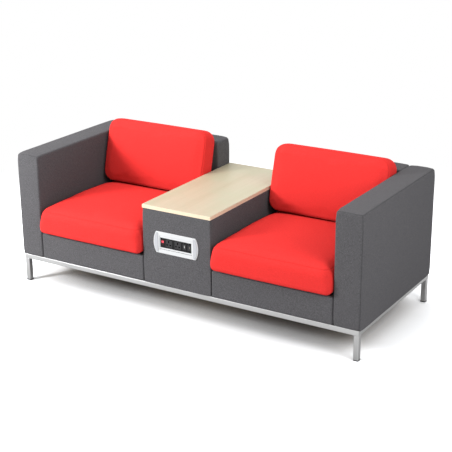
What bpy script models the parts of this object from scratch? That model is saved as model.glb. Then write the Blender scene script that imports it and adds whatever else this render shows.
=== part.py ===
"""Two-seater modular sofa with a centre console and a flip-over power socket unit.

Metres, +Z up, the sofa's front faces -Y and +X is to the right of someone who looks at that front.
The origin lies on the floor, under the middle of the sofa's bounding box.
"""
import math

import bmesh
import bpy
from mathutils import Matrix, Vector

# Modules along X
ARM_WIDTH = 0.130
SEAT_WIDTH = 0.630
CONSOLE_WIDTH = 0.380
MODULE_GAP = 0.0015

# Heights above the floor
RAIL_BOTTOM = 0.120
TUBE = 0.025
TUBE_WALL = 0.002
TUBE_CORNER = 0.0025
ARM_TOP = 0.680
CONSOLE_TOP = 0.540
SEAT_BASE_TOP = 0.280

# Depth
BODY_DEPTH = 0.800
CUSHION_OVERHANG = 0.034
BACK_THICKNESS = 0.115

# Fits
SEAT_FIT = 0.0003
RAIL_INSET = 0.006

# Upholstery and boards
PADDING = 0.012
PAD_EDGE = 0.014
FASCIA = 0.022
FASCIA_EDGE = 0.006
CONSOLE_PADDING = 0.010
CONSOLE_EDGE = 0.004
TIMBER = 0.030
BOARD = 0.018
TOP_BOARD = 0.018
TOP_EDGE = 0.001
LADDER_BAYS = 4

# Glides under the legs
GLIDE_PAD = 0.004
GLIDE_PLUG = 0.016

# Frame bolts
BOLT_RADIUS = 0.004
BOLT_HEAD_RADIUS = 0.007
BOLT_HEAD_HEIGHT = 0.0045
BOLT_GRIP = 0.020
BOLT_HOLE_PLAY = 0.0003
BOLT_SIDES = 12

# Elastic webbing under the seat cushions
LONG_STRAPS = 5
CROSS_STRAPS = 5
STRAP_WIDTH = 0.060
STRAP_THICKNESS = 0.0025

# Seat cushions
SEAT_CUSHION_SIDE = 0.141
SEAT_CUSHION_DROP = 0.012
SEAT_CUSHION_CROWN = 0.022
SEAT_CUSHION_EDGE = 0.038
SEAT_CUSHION_CORNER = 0.036
SEAT_CUSHION_FOOT = 0.022
SEAT_CUSHION_GAP = 0.002

# Back cushions
BACK_CUSHION_HEIGHT = 0.335
BACK_CUSHION_THICKNESS = 0.108
BACK_CUSHION_CROWN = 0.020
BACK_CUSHION_REAR_CROWN = 0.006
BACK_CUSHION_EDGE = 0.026
BACK_CUSHION_CORNER = 0.045
BACK_CUSHION_GAP = 0.004
BACK_CUSHION_LEAN = math.radians(14.5)
CUSHION_DRAW = 0.003
CUSHION_CUTS = 11
PRESS_BLEND = 0.100

# Power unit in the console front
POWER_HEIGHT = 0.368
BEZEL_WIDTH = 0.250
BEZEL_HEIGHT = 0.106
BEZEL_THICKNESS = 0.005
BEZEL_BULGE = 0.015
BEZEL_EDGE = 0.0015
CARRIER_WIDTH = 0.180
CARRIER_HEIGHT = 0.066
CARRIER_DEPTH = 0.034
CARRIER_EDGE = 0.003
CARRIER_SIDE_PLAY = 0.001
CARRIER_RECESS = 0.002
CARRIER_SWING_PLAY = 0.0008
HOUSING_WALL = 0.0025
CUTOUT_PLAY = 0.0005
CAP_MARGIN = 0.005
CAP_WIDTH = 0.022
CAP_THICKNESS = 0.0015
PLATE_WIDTH = 0.174
PLATE_HEIGHT = 0.048
PLATE_THICKNESS = 0.002
SOCKET_SIZE = 0.036
SOCKET_DEPTH = 0.016
SOCKET_X = (-0.040, 0.010)
SOCKET_RIM = 0.0010
EARTH_SLOT = (0.0052, 0.0092)
LINE_SLOT = (0.0078, 0.0052)
LINE_SPACING = 0.018
SLOT_RISE = 0.009
SLOT_DROP = 0.007
SLOT_DEPTH = 0.013
PORT_X = (0.047, 0.074)
PORT_SIZE = (0.018, 0.026)
PORT_SLOT = (0.0056, 0.0126)
PORT_SLOT_DEPTH = 0.011
ROCKER_X = -0.074
ROCKER_SIZE = (0.012, 0.020)
ROCKER_DEPTH = 0.007
ROCKER_PROUD = 0.0012
ROCKER_TILT = math.radians(7.0)
PIVOT_RADIUS = 0.004
PIVOT_IN_CARRIER = 0.006
PIVOT_SIDES = 16
INLET_RADIUS = 0.008
INLET_LENGTH = 0.018
INLET_BORE = 0.0045

# Steel angles under the console top
ANGLE_LEG = 0.030
ANGLE_THICKNESS = 0.002
ANGLE_INSET = 0.080

# Derived planes
HALF_WIDTH = CONSOLE_WIDTH / 2 + SEAT_WIDTH + ARM_WIDTH
HALF_CONSOLE = CONSOLE_WIDTH / 2
ARM_INNER = HALF_CONSOLE + SEAT_WIDTH
FRONT = -(BODY_DEPTH + CUSHION_OVERHANG) / 2 + CUSHION_OVERHANG
REAR = FRONT + BODY_DEPTH
RAIL_TOP = RAIL_BOTTOM + TUBE
UPHOLSTERY_BOTTOM = RAIL_TOP + SEAT_FIT
BACK_FRONT = REAR - BACK_THICKNESS
SEAT_IN = HALF_CONSOLE + MODULE_GAP
SEAT_OUT = ARM_INNER - MODULE_GAP
SEAT_CENTRE = (SEAT_IN + SEAT_OUT) / 2
SEAT_BASE_BACK = BACK_FRONT - MODULE_GAP
SEAT_FRAME_TOP = SEAT_BASE_TOP - STRAP_THICKNESS - SEAT_FIT
TOP_BOARD_BOTTOM = CONSOLE_TOP - TOP_BOARD
CARCASS_TOP = TOP_BOARD_BOTTOM - SEAT_FIT
RAIL_OUTER_X = HALF_WIDTH - RAIL_INSET
FRONT_RAIL_Y = FRONT + RAIL_INSET + TUBE / 2
REAR_RAIL_Y = REAR - RAIL_INSET - TUBE / 2
ARM_CENTRE = HALF_WIDTH - ARM_WIDTH / 2
AXIS_Y = FRONT - BEZEL_THICKNESS + CARRIER_RECESS + CARRIER_DEPTH / 2
SWING_RADIUS = math.hypot(CARRIER_HEIGHT / 2 - CARRIER_EDGE, CARRIER_DEPTH / 2 - CARRIER_EDGE) + CARRIER_EDGE
HOUSING_INNER_HEIGHT = 2 * (SWING_RADIUS + CARRIER_SWING_PLAY)
HOUSING_HEIGHT = HOUSING_INNER_HEIGHT + 2 * HOUSING_WALL
HOUSING_INNER_WIDTH = CARRIER_WIDTH + 2 * CARRIER_SIDE_PLAY
HOUSING_WIDTH = HOUSING_INNER_WIDTH + 2 * HOUSING_WALL
HOUSING_FRONT = FRONT + SEAT_FIT
HOUSING_INNER_BACK = AXIS_Y + SWING_RADIUS + CARRIER_SWING_PLAY
HOUSING_BACK = HOUSING_INNER_BACK + HOUSING_WALL
WINDOW_HALF_HEIGHT = math.sqrt(SWING_RADIUS ** 2 - (AXIS_Y - FRONT) ** 2) + CARRIER_SWING_PLAY

# Where a back cushion stands: its foot on the seat cushion, its rear face against the back panel
LEAN_SINE, LEAN_COSINE = math.sin(BACK_CUSHION_LEAN), math.cos(BACK_CUSHION_LEAN)
SEAT_DEPTH = SEAT_BASE_BACK - FRONT + CUSHION_OVERHANG
SEAT_DROP_AT_FOOT = SEAT_CUSHION_DROP * (1 - BACK_CUSHION_THICKNESS / SEAT_DEPTH)
BACK_CUSHION_BOTTOM = SEAT_BASE_TOP + SEAT_CUSHION_SIDE - SEAT_DROP_AT_FOOT + 2 * SEAT_FIT
BACK_CUSHION_Z = (BACK_CUSHION_BOTTOM + BACK_CUSHION_EDGE
                  + (BACK_CUSHION_HEIGHT / 2 - BACK_CUSHION_EDGE) * LEAN_COSINE
                  + (BACK_CUSHION_THICKNESS / 2 - BACK_CUSHION_EDGE) * LEAN_SINE)
REST_ALONG = (ARM_TOP - BACK_CUSHION_Z + BACK_CUSHION_THICKNESS / 2 * LEAN_SINE) / LEAN_COSINE
BACK_CUSHION_Y = (BACK_FRONT - SEAT_FIT - BACK_CUSHION_REAR_CROWN - REST_ALONG * LEAN_SINE
                  - BACK_CUSHION_THICKNESS / 2 * LEAN_COSINE)
BACK_CUSHION_FOOT_Y = (BACK_CUSHION_Y - (BACK_CUSHION_HEIGHT / 2 - BACK_CUSHION_EDGE) * LEAN_SINE
                       + (BACK_CUSHION_THICKNESS / 2 - BACK_CUSHION_EDGE) * LEAN_COSINE)

SIDES = {"left": -1, "right": 1}

# Colours, roughness and metallic value of each finish
FINISHES = {
    "painted_steel": ((0.60, 0.60, 0.61), 0.38, 0.9),
    "zinc_steel": ((0.55, 0.56, 0.58), 0.35, 1.0),
    "black_nylon": ((0.03, 0.03, 0.03), 0.5, 0.0),
    "grey_fabric": ((0.15, 0.15, 0.155), 0.9, 0.0),
    "red_fabric": ((0.85, 0.035, 0.03), 0.85, 0.0),
    "timber": ((0.55, 0.40, 0.24), 0.7, 0.0),
    "maple": ((0.76, 0.67, 0.50), 0.45, 0.0),
    "webbing": ((0.05, 0.05, 0.05), 0.8, 0.0),
    "white_plastic": ((0.85, 0.86, 0.87), 0.3, 0.0),
    "pale_grey_plastic": ((0.70, 0.71, 0.73), 0.35, 0.0),
    "black_plastic": ((0.02, 0.02, 0.022), 0.35, 0.0),
    "red_plastic": ((0.80, 0.03, 0.04), 0.25, 0.0),
}


def clear_scene():
    for item in list(bpy.data.objects):
        bpy.data.objects.remove(item, do_unlink=True)


def collection(name):
    made = bpy.data.collections.new(name)
    bpy.context.scene.collection.children.link(made)
    return made


def material(name, finish):
    colour, roughness, metallic = FINISHES[finish]
    made = bpy.data.materials.new(name)
    made.use_nodes = True
    shader = made.node_tree.nodes["Principled BSDF"]
    shader.inputs["Base Color"].default_value = (*colour, 1)
    shader.inputs["Roughness"].default_value = roughness
    shader.inputs["Metallic"].default_value = metallic
    return made


def place(name, mesh, finish, location=(0, 0, 0), smooth=None):
    """Add a mesh to the sofa as a named piece, with its own material."""
    piece = bpy.data.objects.new(name, mesh)
    mesh.materials.clear()
    mesh.materials.append(material(name, finish))
    piece.location = location
    SOFA.objects.link(piece)
    if smooth is not None:
        mesh.shade_smooth()
        mesh.set_sharp_from_angle(angle=math.radians(smooth))
    return piece


def mesh_from(form, name):
    bmesh.ops.recalc_face_normals(form, faces=form.faces)
    mesh = bpy.data.meshes.new(name)
    form.to_mesh(mesh)
    form.free()
    return mesh


def cube_form(low, high):
    """A bmesh box between two corners."""
    low, high = Vector(low), Vector(high)
    form = bmesh.new()
    matrix = Matrix.Translation((low + high) / 2) @ Matrix.Diagonal((*(high - low), 1))
    bmesh.ops.create_cube(form, size=1, matrix=matrix)
    return form


def block(name, low, high, finish, edge=0, segments=2, smooth=None):
    """A box-shaped piece with rounded edges."""
    piece = place(name, mesh_from(cube_form(low, high), name), finish, smooth=smooth)
    if edge:
        bevel(piece, edge, segments)
    return piece


def bevel(piece, width, segments=2, angle=30):
    rounding = piece.modifiers.new("rounded edges", "BEVEL")
    rounding.width = width
    rounding.segments = segments
    rounding.limit_method = "ANGLE"
    rounding.angle_limit = math.radians(angle)


def cutter(name, mesh, location=(0, 0, 0)):
    tool = bpy.data.objects.new(name, mesh)
    tool.location = location
    tool.hide_render = True
    tool.display_type = "WIRE"
    CUTTERS.objects.link(tool)
    return tool


def cut(piece, tool, label="cut"):
    carve = piece.modifiers.new(label, "BOOLEAN")
    carve.operation = "DIFFERENCE"
    carve.object = tool


def cut_box(piece, low, high, label):
    cut(piece, cutter(piece.name + "_" + label, mesh_from(cube_form(low, high), label)), label)


def cylinder_form(radius, low, high, axis, sides):
    """A bmesh cylinder from the point low to the point high along the X, Y or Z axis."""
    low, high = Vector(low), Vector(high)
    turn = {"X": Matrix.Rotation(math.pi / 2, 4, "Y"), "Y": Matrix.Rotation(-math.pi / 2, 4, "X"),
            "Z": Matrix.Identity(4)}[axis]
    form = bmesh.new()
    bmesh.ops.create_cone(form, cap_ends=True, segments=sides, radius1=radius, radius2=radius,
                          depth=(high - low).length, matrix=Matrix.Translation((low + high) / 2) @ turn)
    return form


def join_forms(forms, name):
    """One mesh of several separate solids, or of several cutters that don't meet."""
    whole = bmesh.new()
    for form in forms:
        piece = mesh_from(form, name)
        whole.from_mesh(piece)
        bpy.data.meshes.remove(piece)
    return mesh_from(whole, name)


def cut_forms(piece, forms, label):
    cut(piece, cutter(piece.name + "_" + label.replace(" ", "_"), join_forms(forms, label)), label)


def evaluated_copy(piece, name):
    """The piece's mesh with its modifiers, as a new mesh."""
    bpy.context.view_layer.update()
    graph = bpy.context.evaluated_depsgraph_get()
    return bpy.data.meshes.new_from_object(piece.evaluated_get(graph), depsgraph=graph)


def turned(profile, sides, name):
    """A mesh turned about Z from (radius, height) points, from the top of the axis to its foot."""
    form = bmesh.new()
    points = [form.verts.new((radius, 0, height)) for radius, height in profile]
    for first, second in zip(points, points[1:]):
        form.edges.new((first, second))
    mesh = bpy.data.meshes.new(name)
    form.to_mesh(mesh)
    form.free()
    guide = cutter(name + "_profile", mesh)
    screw = guide.modifiers.new("turn", "SCREW")
    screw.steps = screw.render_steps = sides
    screw.use_merge_vertices = True
    screw.merge_threshold = 0.00005
    whole = evaluated_copy(guide, name)
    bpy.data.objects.remove(guide, do_unlink=True)
    return whole


def bolt_places():
    """Where the frame bolts stand: two under each arm."""
    ends = {"front": FRONT_RAIL_Y, "rear": REAR_RAIL_Y}
    return {f"{end}_{side}": (sign * ARM_CENTRE, y) for end, y in ends.items() for side, sign in SIDES.items()}


def bolt_hole_forms(low, high, keep):
    """Cylinders for the frame bolts that stand inside a piece."""
    radius = BOLT_RADIUS + BOLT_HOLE_PLAY
    return [cylinder_form(radius, (x, y, low), (x, y, high), "Z", BOLT_SIDES)
            for x, y in bolt_places().values() if keep(x, y)]


def rail(name, start, end, mitred):
    """A square steel tube along X or Y, with its ends cut to 45 degrees towards the sofa's middle."""
    start, end = Vector(start), Vector(end)
    along_x = abs(end.x - start.x) > abs(end.y - start.y)
    half = Vector((0, TUBE / 2, TUBE / 2)) if along_x else Vector((TUBE / 2, 0, TUBE / 2))
    form = cube_form(start - half, end + half)
    if mitred:
        run, side = (0, 1) if along_x else (1, 0)
        outward = 1 if start[side] > 0 else -1
        for corner in form.verts:
            if (corner.co[side] - start[side]) * outward < 0:
                corner.co[run] -= math.copysign(TUBE, corner.co[run])
            corner.co[run] -= math.copysign(SEAT_FIT, corner.co[run])
    long_edges = [edge for edge in form.edges
                  if abs((edge.verts[1].co - edge.verts[0].co)[0 if along_x else 1]) > TUBE * 2]
    bmesh.ops.bevel(form, geom=long_edges, offset=TUBE_CORNER, segments=2, profile=0.5, affect="EDGES")
    piece = place(name, mesh_from(form, name), "painted_steel", smooth=40)
    bore = Vector((0, TUBE / 2 - TUBE_WALL, TUBE / 2 - TUBE_WALL))
    reach = Vector((TUBE, 0, 0))
    if not along_x:
        bore = Vector((TUBE / 2 - TUBE_WALL, 0, TUBE / 2 - TUBE_WALL))
        reach = Vector((0, TUBE, 0))
    cut_box(piece, start - bore - reach, end + bore + reach, "bore")
    return piece


def base_frame():
    """Welded base: four mitred rails, a centre rail and four legs of square tube."""
    corner_x = RAIL_OUTER_X
    height = RAIL_BOTTOM + TUBE / 2
    for name, y in (("front_rail", FRONT_RAIL_Y), ("rear_rail", REAR_RAIL_Y)):
        piece = rail(name, (-corner_x, y, height), (corner_x, y, height), True)
        cut_forms(piece, bolt_hole_forms(RAIL_BOTTOM - TUBE, RAIL_TOP + TUBE, lambda _, row: row == y),
                  "bolt holes")
    low_y, high_y = FRONT_RAIL_Y - TUBE / 2, REAR_RAIL_Y + TUBE / 2
    inner_low = low_y + TUBE + SEAT_FIT
    inner_high = high_y - TUBE - SEAT_FIT
    rail("centre_rail", (0, inner_low, height), (0, inner_high, height), False)
    for side, sign in SIDES.items():
        x = sign * (corner_x - TUBE / 2)
        rail(side + "_side_rail", (x, low_y, height), (x, high_y, height), True)
        for end, y in (("front", FRONT_RAIL_Y), ("rear", REAR_RAIL_Y)):
            leg(end + "_" + side, sign * (corner_x - TUBE / 2), y)


def leg(name, x, y):
    """A tube leg under a corner of the frame, with a nylon glide plugged into its foot."""
    half = TUBE / 2
    low, high = GLIDE_PAD + SEAT_FIT, RAIL_BOTTOM - SEAT_FIT
    form = cube_form((-half, -half, low), (half, half, high))
    upright = [edge for edge in form.edges if abs(edge.verts[0].co.z - edge.verts[1].co.z) > TUBE]
    bmesh.ops.bevel(form, geom=upright, offset=TUBE_CORNER, segments=2, profile=0.5, affect="EDGES")
    piece = place(name + "_leg", mesh_from(form, name), "painted_steel", (x, y, 0), smooth=40)
    bore = half - TUBE_WALL
    tool = cutter(name + "_leg_bore", mesh_from(cube_form((-bore, -bore, low - TUBE), (bore, bore, high + TUBE)),
                                                name), (x, y, 0))
    cut(piece, tool, "bore")
    foot = cube_form((-half, -half, 0), (half, half, GLIDE_PAD))
    top = [face for face in foot.faces if face.normal.z > 0.5]
    step = TUBE_WALL + SEAT_FIT
    bmesh.ops.inset_region(foot, faces=top, thickness=step, use_even_offset=True)
    top = [face for face in foot.faces if face.normal.z > 0.5 and len(face.verts) == 4
           and max(abs(corner.co.x) for corner in face.verts) < half - step / 2]
    raised = bmesh.ops.extrude_discrete_faces(foot, faces=top)
    for face in raised["faces"]:
        bmesh.ops.translate(foot, verts=face.verts, vec=(0, 0, GLIDE_PLUG))
    place(name + "_glide", mesh_from(foot, name), "black_nylon", (x, y, 0))


def frame_bolts():
    """Button-head bolts that go up through the rails into the timber of each module."""
    under = RAIL_BOTTOM - SEAT_FIT
    dome = BOLT_HEAD_HEIGHT
    profile = [(0, RAIL_TOP + BOLT_GRIP), (BOLT_RADIUS, RAIL_TOP + BOLT_GRIP), (BOLT_RADIUS, under),
               (BOLT_HEAD_RADIUS, under), (BOLT_HEAD_RADIUS * 0.85, under - dome * 0.6),
               (BOLT_HEAD_RADIUS * 0.5, under - dome), (0, under - dome)]
    bolt = turned(profile, BOLT_SIDES, "frame_bolt")
    for spot, (x, y) in bolt_places().items():
        place(spot + "_bolt", bolt.copy(), "zinc_steel", (x, y, 0), smooth=40)


def ladder(name, low, high, through, run, bays):
    """A timber frame: a box with a row of equal windows, through one axis and in a row along another."""
    piece = block(name, low, high, "timber")
    low, high = Vector(low), Vector(high)
    pitch = (high[run] - low[run] - TIMBER) / bays
    windows = []
    for bay in range(bays):
        first, last = low + Vector((TIMBER,) * 3), high - Vector((TIMBER,) * 3)
        first[run] = low[run] + TIMBER + bay * pitch
        last[run] = first[run] + pitch - TIMBER
        first[through], last[through] = low[through] - TIMBER, high[through] + TIMBER
        windows.append(cube_form(first, last))
    cut_forms(piece, windows, "windows")
    return piece


def arm(side, sign):
    """An upholstered arm: a padded fabric shell pulled over a ladder frame of timber."""
    inner, outer = sorted((sign * ARM_INNER, sign * HALF_WIDTH))
    low, high = (inner, FRONT, UPHOLSTERY_BOTTOM), (outer, REAR, ARM_TOP)
    upholstered_shell(side + "_arm_cover", low, high)
    frame = ladder(side + "_arm_frame", *inside_shell(low, high), 0, 1, LADDER_BAYS)
    cut_forms(frame, bolt_hole_forms(RAIL_BOTTOM, RAIL_TOP + BOLT_GRIP + SEAT_FIT,
                                     lambda x, _: inner < x < outer), "bolt holes")


def back(side, sign):
    """An upholstered back panel between the arm and the console, made like the arms."""
    inner, outer = sorted((sign * SEAT_IN, sign * SEAT_OUT))
    low, high = (inner, BACK_FRONT, UPHOLSTERY_BOTTOM), (outer, REAR, ARM_TOP)
    upholstered_shell(side + "_back_cover", low, high)
    ladder(side + "_back_frame", *inside_shell(low, high), 1, 0, LADDER_BAYS)


def upholstered_shell(name, low, high):
    cover = block(name, low, high, "grey_fabric", PAD_EDGE, 3, smooth=40)
    hollow_low = Vector(low) + Vector((PADDING, PADDING, -PADDING))
    hollow_high = Vector(high) - Vector((PADDING,) * 3)
    cut_box(cover, hollow_low, hollow_high, "hollow")


def inside_shell(low, high):
    play = Vector((PADDING + SEAT_FIT,) * 3)
    first, last = Vector(low) + play, Vector(high) - play
    first.z = low[2]
    return first, last


def seat_base(side, sign):
    """Seat base: timber ladder frame, grey padded fascia and interlaced elastic straps on top."""
    inner, outer = sorted((sign * SEAT_IN, sign * SEAT_OUT))
    block(side + "_seat_fascia", (inner, FRONT, UPHOLSTERY_BOTTOM), (outer, FRONT + FASCIA, SEAT_BASE_TOP),
          "grey_fabric", FASCIA_EDGE, smooth=40)
    low = Vector((inner, FRONT + FASCIA + SEAT_FIT, UPHOLSTERY_BOTTOM))
    high = Vector((outer, SEAT_BASE_BACK, SEAT_FRAME_TOP))
    ladder(side + "_seat_frame", low, high, 2, 1, LADDER_BAYS)
    straps = []
    for axis, count in ((0, LONG_STRAPS), (1, CROSS_STRAPS)):
        pitch = (high[axis] - low[axis]) / count
        for index in range(count):
            first = Vector((low.x, low.y, SEAT_FRAME_TOP + SEAT_FIT))
            last = Vector((high.x, high.y, SEAT_BASE_TOP))
            middle = low[axis] + (index + 0.5) * pitch
            first[axis], last[axis] = middle - STRAP_WIDTH / 2, middle + STRAP_WIDTH / 2
            straps.append(cube_form(first, last))
    place(side + "_seat_webbing", union_mesh(straps, "straps"), "webbing")


def spread(value, power=2.2):
    """Moves grid lines of a unit cube towards its edges, where the cushion rounds over."""
    return math.copysign(1 - (1 - abs(value)) ** power, value)


def smooth_step(value):
    value = max(0.0, min(1.0, value))
    return value * value * (3 - 2 * value)


def on_round(first, second, radius):
    """Turns two distances from the faces of a square edge into those from the faces of a round one."""
    over = Vector((max(0.0, radius - first), max(0.0, radius - second)))
    if over.length == 0:
        return first, second
    keep = max(over) / over.length
    return tuple(radius - part * keep if part > 0 else value for part, value in zip(over, (first, second)))


def round_over(point, half, edge_radius, corner_radius):
    """Moves a point of a box on to the same box with round level edges and round corners."""
    inset = min(half.x - abs(point.x), half.y - abs(point.y))
    rounded, depth = on_round(inset, half.z - abs(point.z), edge_radius)
    point.z = math.copysign(half.z - depth, point.z)
    if rounded > inset:
        for axis in range(2):
            point[axis] *= (half[axis] - rounded) / (half[axis] - inset)
    corner = max(corner_radius - rounded, edge_radius / 4)
    gaps = on_round(half.x - rounded - abs(point.x), half.y - rounded - abs(point.y), corner)
    for axis in range(2):
        point[axis] = math.copysign(half[axis] - rounded - gaps[axis], point[axis])


def cushion(name, size, edges, corner_radius, crown, location, turn=0.0, pressed=None, drop=0.0):
    """A boxed cushion: crowned faces, sides drawn in between the corners, and soft rounded edges.

    size is the seamed box, edges the radius of its upper and its lower edge, and crown the rise of
    the upper and of the lower face. The upper face falls by drop towards the rear, and is pressed
    flat beyond the depth named pressed.
    """
    form = bmesh.new()
    bmesh.ops.create_cube(form, size=2)
    bmesh.ops.subdivide_edges(form, edges=form.edges[:], cuts=CUSHION_CUTS, use_grid_fill=True)
    half = Vector(size) / 2
    for corner in form.verts:
        unit = Vector([spread(value) for value in corner.co])
        point = Vector([unit[axis] * half[axis] for axis in range(3)])
        round_over(point, half, edges[0] if unit.z > 0 else edges[1], corner_radius)
        across, along, up = (point[axis] / half[axis] for axis in range(3))
        rise = crown[0] if up > 0 else crown[1]
        if pressed is not None and up > 0:
            rise *= smooth_step((pressed - point.y) / PRESS_BLEND)
        point.z += up * rise * (1 - across ** 2) * (1 - along ** 2) - drop * (1 + along) * (1 + up) / 4
        belly = CUSHION_DRAW * up ** 2
        point.x *= 1 - (belly + CUSHION_DRAW * (1 - along ** 2)) / half.x
        point.y *= 1 - (belly + CUSHION_DRAW * (1 - across ** 2)) / half.y
        corner.co = point
    # The drawn-in sides are spread again until the cushion fills its width and depth
    reach = [max(abs(corner.co[axis]) for corner in form.verts) for axis in range(2)]
    bmesh.ops.scale(form, vec=(half.x / reach[0], half.y / reach[1], 1), verts=form.verts)
    mesh = mesh_from(form, name)
    mesh.transform(Matrix.Rotation(turn, 4, "X"))
    return place(name, mesh, "red_fabric", location, smooth=180)


def seat_cushion(side, sign):
    """Loose seat cushion, which lies on the webbing and hangs over the fascia a little."""
    width = SEAT_OUT - SEAT_IN - 2 * SEAT_CUSHION_GAP
    front, rear = FRONT - CUSHION_OVERHANG, SEAT_BASE_BACK - SEAT_CUSHION_GAP
    middle = (front + rear) / 2
    low = SEAT_BASE_TOP + SEAT_FIT
    cushion(side + "_seat_cushion", (width, rear - front, SEAT_CUSHION_SIDE),
            (SEAT_CUSHION_EDGE, SEAT_CUSHION_FOOT), SEAT_CUSHION_CORNER, (SEAT_CUSHION_CROWN, 0),
            (sign * SEAT_CENTRE, middle, low + SEAT_CUSHION_SIDE / 2),
            pressed=BACK_CUSHION_FOOT_Y - middle, drop=SEAT_CUSHION_DROP)


def back_cushion(side, sign):
    """Loose back cushion, which stands on the seat cushion and leans on the back panel's top edge."""
    width = SEAT_OUT - SEAT_IN - 2 * BACK_CUSHION_GAP
    cushion(side + "_back_cushion", (width, BACK_CUSHION_HEIGHT, BACK_CUSHION_THICKNESS),
            (BACK_CUSHION_EDGE, BACK_CUSHION_EDGE), BACK_CUSHION_CORNER,
            (BACK_CUSHION_CROWN, BACK_CUSHION_REAR_CROWN),
            (sign * SEAT_CENTRE, BACK_CUSHION_Y, BACK_CUSHION_Z), turn=math.pi / 2 - BACK_CUSHION_LEAN)


def console():
    """Console between the seats: boards, padded fabric panels round them, and a maple top."""
    outer = HALF_CONSOLE
    front_pad_back = FRONT + CONSOLE_PADDING
    rear_pad_front = REAR - CONSOLE_PADDING
    pad_top = CARCASS_TOP
    housing = power_cutout()
    front_pad = block("console_front_pad", (-outer, FRONT, UPHOLSTERY_BOTTOM),
                      (outer, front_pad_back, pad_top), "grey_fabric", CONSOLE_EDGE, smooth=40)
    cut(front_pad, housing, "power cutout")
    block("console_rear_pad", (-outer, rear_pad_front, UPHOLSTERY_BOTTOM), (outer, REAR, pad_top),
          "grey_fabric", CONSOLE_EDGE, smooth=40)
    board_x = outer - CONSOLE_PADDING - SEAT_FIT
    board_front, board_rear = front_pad_back + SEAT_FIT, rear_pad_front - SEAT_FIT
    front_board = block("console_front_board", (-board_x, board_front, UPHOLSTERY_BOTTOM),
                        (board_x, board_front + BOARD, CARCASS_TOP), "timber")
    cut(front_board, housing, "power cutout")
    block("console_rear_board", (-board_x, board_rear - BOARD, UPHOLSTERY_BOTTOM),
          (board_x, board_rear, CARCASS_TOP), "timber")
    side_front, side_rear = board_front + BOARD + SEAT_FIT, board_rear - BOARD - SEAT_FIT
    for side, sign in SIDES.items():
        near, far = sorted((sign * (outer - CONSOLE_PADDING), sign * outer))
        block(f"console_{side}_pad", (near, board_front, UPHOLSTERY_BOTTOM), (far, board_rear, pad_top),
              "grey_fabric", CONSOLE_EDGE / 2, smooth=40)
        near, far = sorted((sign * (board_x - BOARD), sign * board_x))
        block(f"console_{side}_board", (near, side_front, UPHOLSTERY_BOTTOM), (far, side_rear, CARCASS_TOP),
              "timber")
    floor_x = board_x - BOARD - SEAT_FIT
    block("console_bottom_board", (-floor_x, side_front, UPHOLSTERY_BOTTOM),
          (floor_x, side_rear, UPHOLSTERY_BOTTOM + BOARD), "timber")
    block("console_top", (-outer, FRONT, TOP_BOARD_BOTTOM), (outer, REAR, CONSOLE_TOP), "maple", TOP_EDGE,
          smooth=40)
    top_angles(floor_x + SEAT_FIT, side_front, side_rear)


def top_angles(board_face, front, rear):
    """Steel angles that hold the top to the side boards from inside."""
    for side, sign in SIDES.items():
        wall = sign * (board_face - SEAT_FIT)
        outline = [(wall, CARCASS_TOP), (wall - sign * ANGLE_LEG, CARCASS_TOP),
                   (wall - sign * ANGLE_LEG, CARCASS_TOP - ANGLE_THICKNESS),
                   (wall - sign * ANGLE_THICKNESS, CARCASS_TOP - ANGLE_THICKNESS),
                   (wall - sign * ANGLE_THICKNESS, CARCASS_TOP - ANGLE_LEG), (wall, CARCASS_TOP - ANGLE_LEG)]
        form = extruded_xz(outline, front + ANGLE_INSET, rear - ANGLE_INSET)
        place(f"console_{side}_angle", mesh_from(form, "angle"), "zinc_steel")


def extruded_xz(outline, front, back):
    """A bmesh prism with an outline in X and Z, from front to back along Y."""
    curve = bpy.data.curves.new("outline", "CURVE")
    curve.dimensions = "2D"
    curve.fill_mode = "BOTH"
    curve.extrude = (back - front) / 2
    spline = curve.splines.new("POLY")
    spline.points.add(len(outline) - 1)
    for point, (x, z) in zip(spline.points, outline):
        point.co = (x, z, 0, 1)
    spline.use_cyclic_u = True
    return curve_form(curve, Matrix.Translation((0, (front + back) / 2, 0)) @ Matrix.Rotation(math.pi / 2, 4, "X"))


def curve_form(curve, matrix):
    guide = bpy.data.objects.new("outline", curve)
    CUTTERS.objects.link(guide)
    mesh = evaluated_copy(guide, "outline")
    bpy.data.objects.remove(guide, do_unlink=True)
    form = bmesh.new()
    form.from_mesh(mesh)
    bpy.data.meshes.remove(mesh)
    bmesh.ops.remove_doubles(form, verts=form.verts, dist=0.00001)
    bmesh.ops.transform(form, matrix=matrix, verts=form.verts)
    return form


def power_cutout():
    """The hole through the console front that the socket housing stands in."""
    half_x = HOUSING_WIDTH / 2 + CUTOUT_PLAY
    half_z = HOUSING_HEIGHT / 2 + CUTOUT_PLAY
    form = cube_form((-half_x, FRONT - BOARD, POWER_HEIGHT - half_z),
                     (half_x, FRONT + 3 * BOARD, POWER_HEIGHT + half_z))
    return cutter("power_cutout", mesh_from(form, "power_cutout"))


def bulged_outline(half_width, half_height, bulge, steps=8):
    """Outline with straight top and bottom edges and ends that bow out by bulge, as arcs."""
    radius = (half_height ** 2 + bulge ** 2) / (2 * bulge)
    sweep = math.asin(half_height / radius)
    points = []
    for sign in (1, -1):
        centre = sign * (half_width - radius)
        for step in range(steps + 1):
            angle = sign * sweep * (2 * step / steps - 1) if sign > 0 else sweep * (1 - 2 * step / steps)
            points.append((centre + sign * radius * math.cos(angle), radius * math.sin(angle)))
    return points


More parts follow.
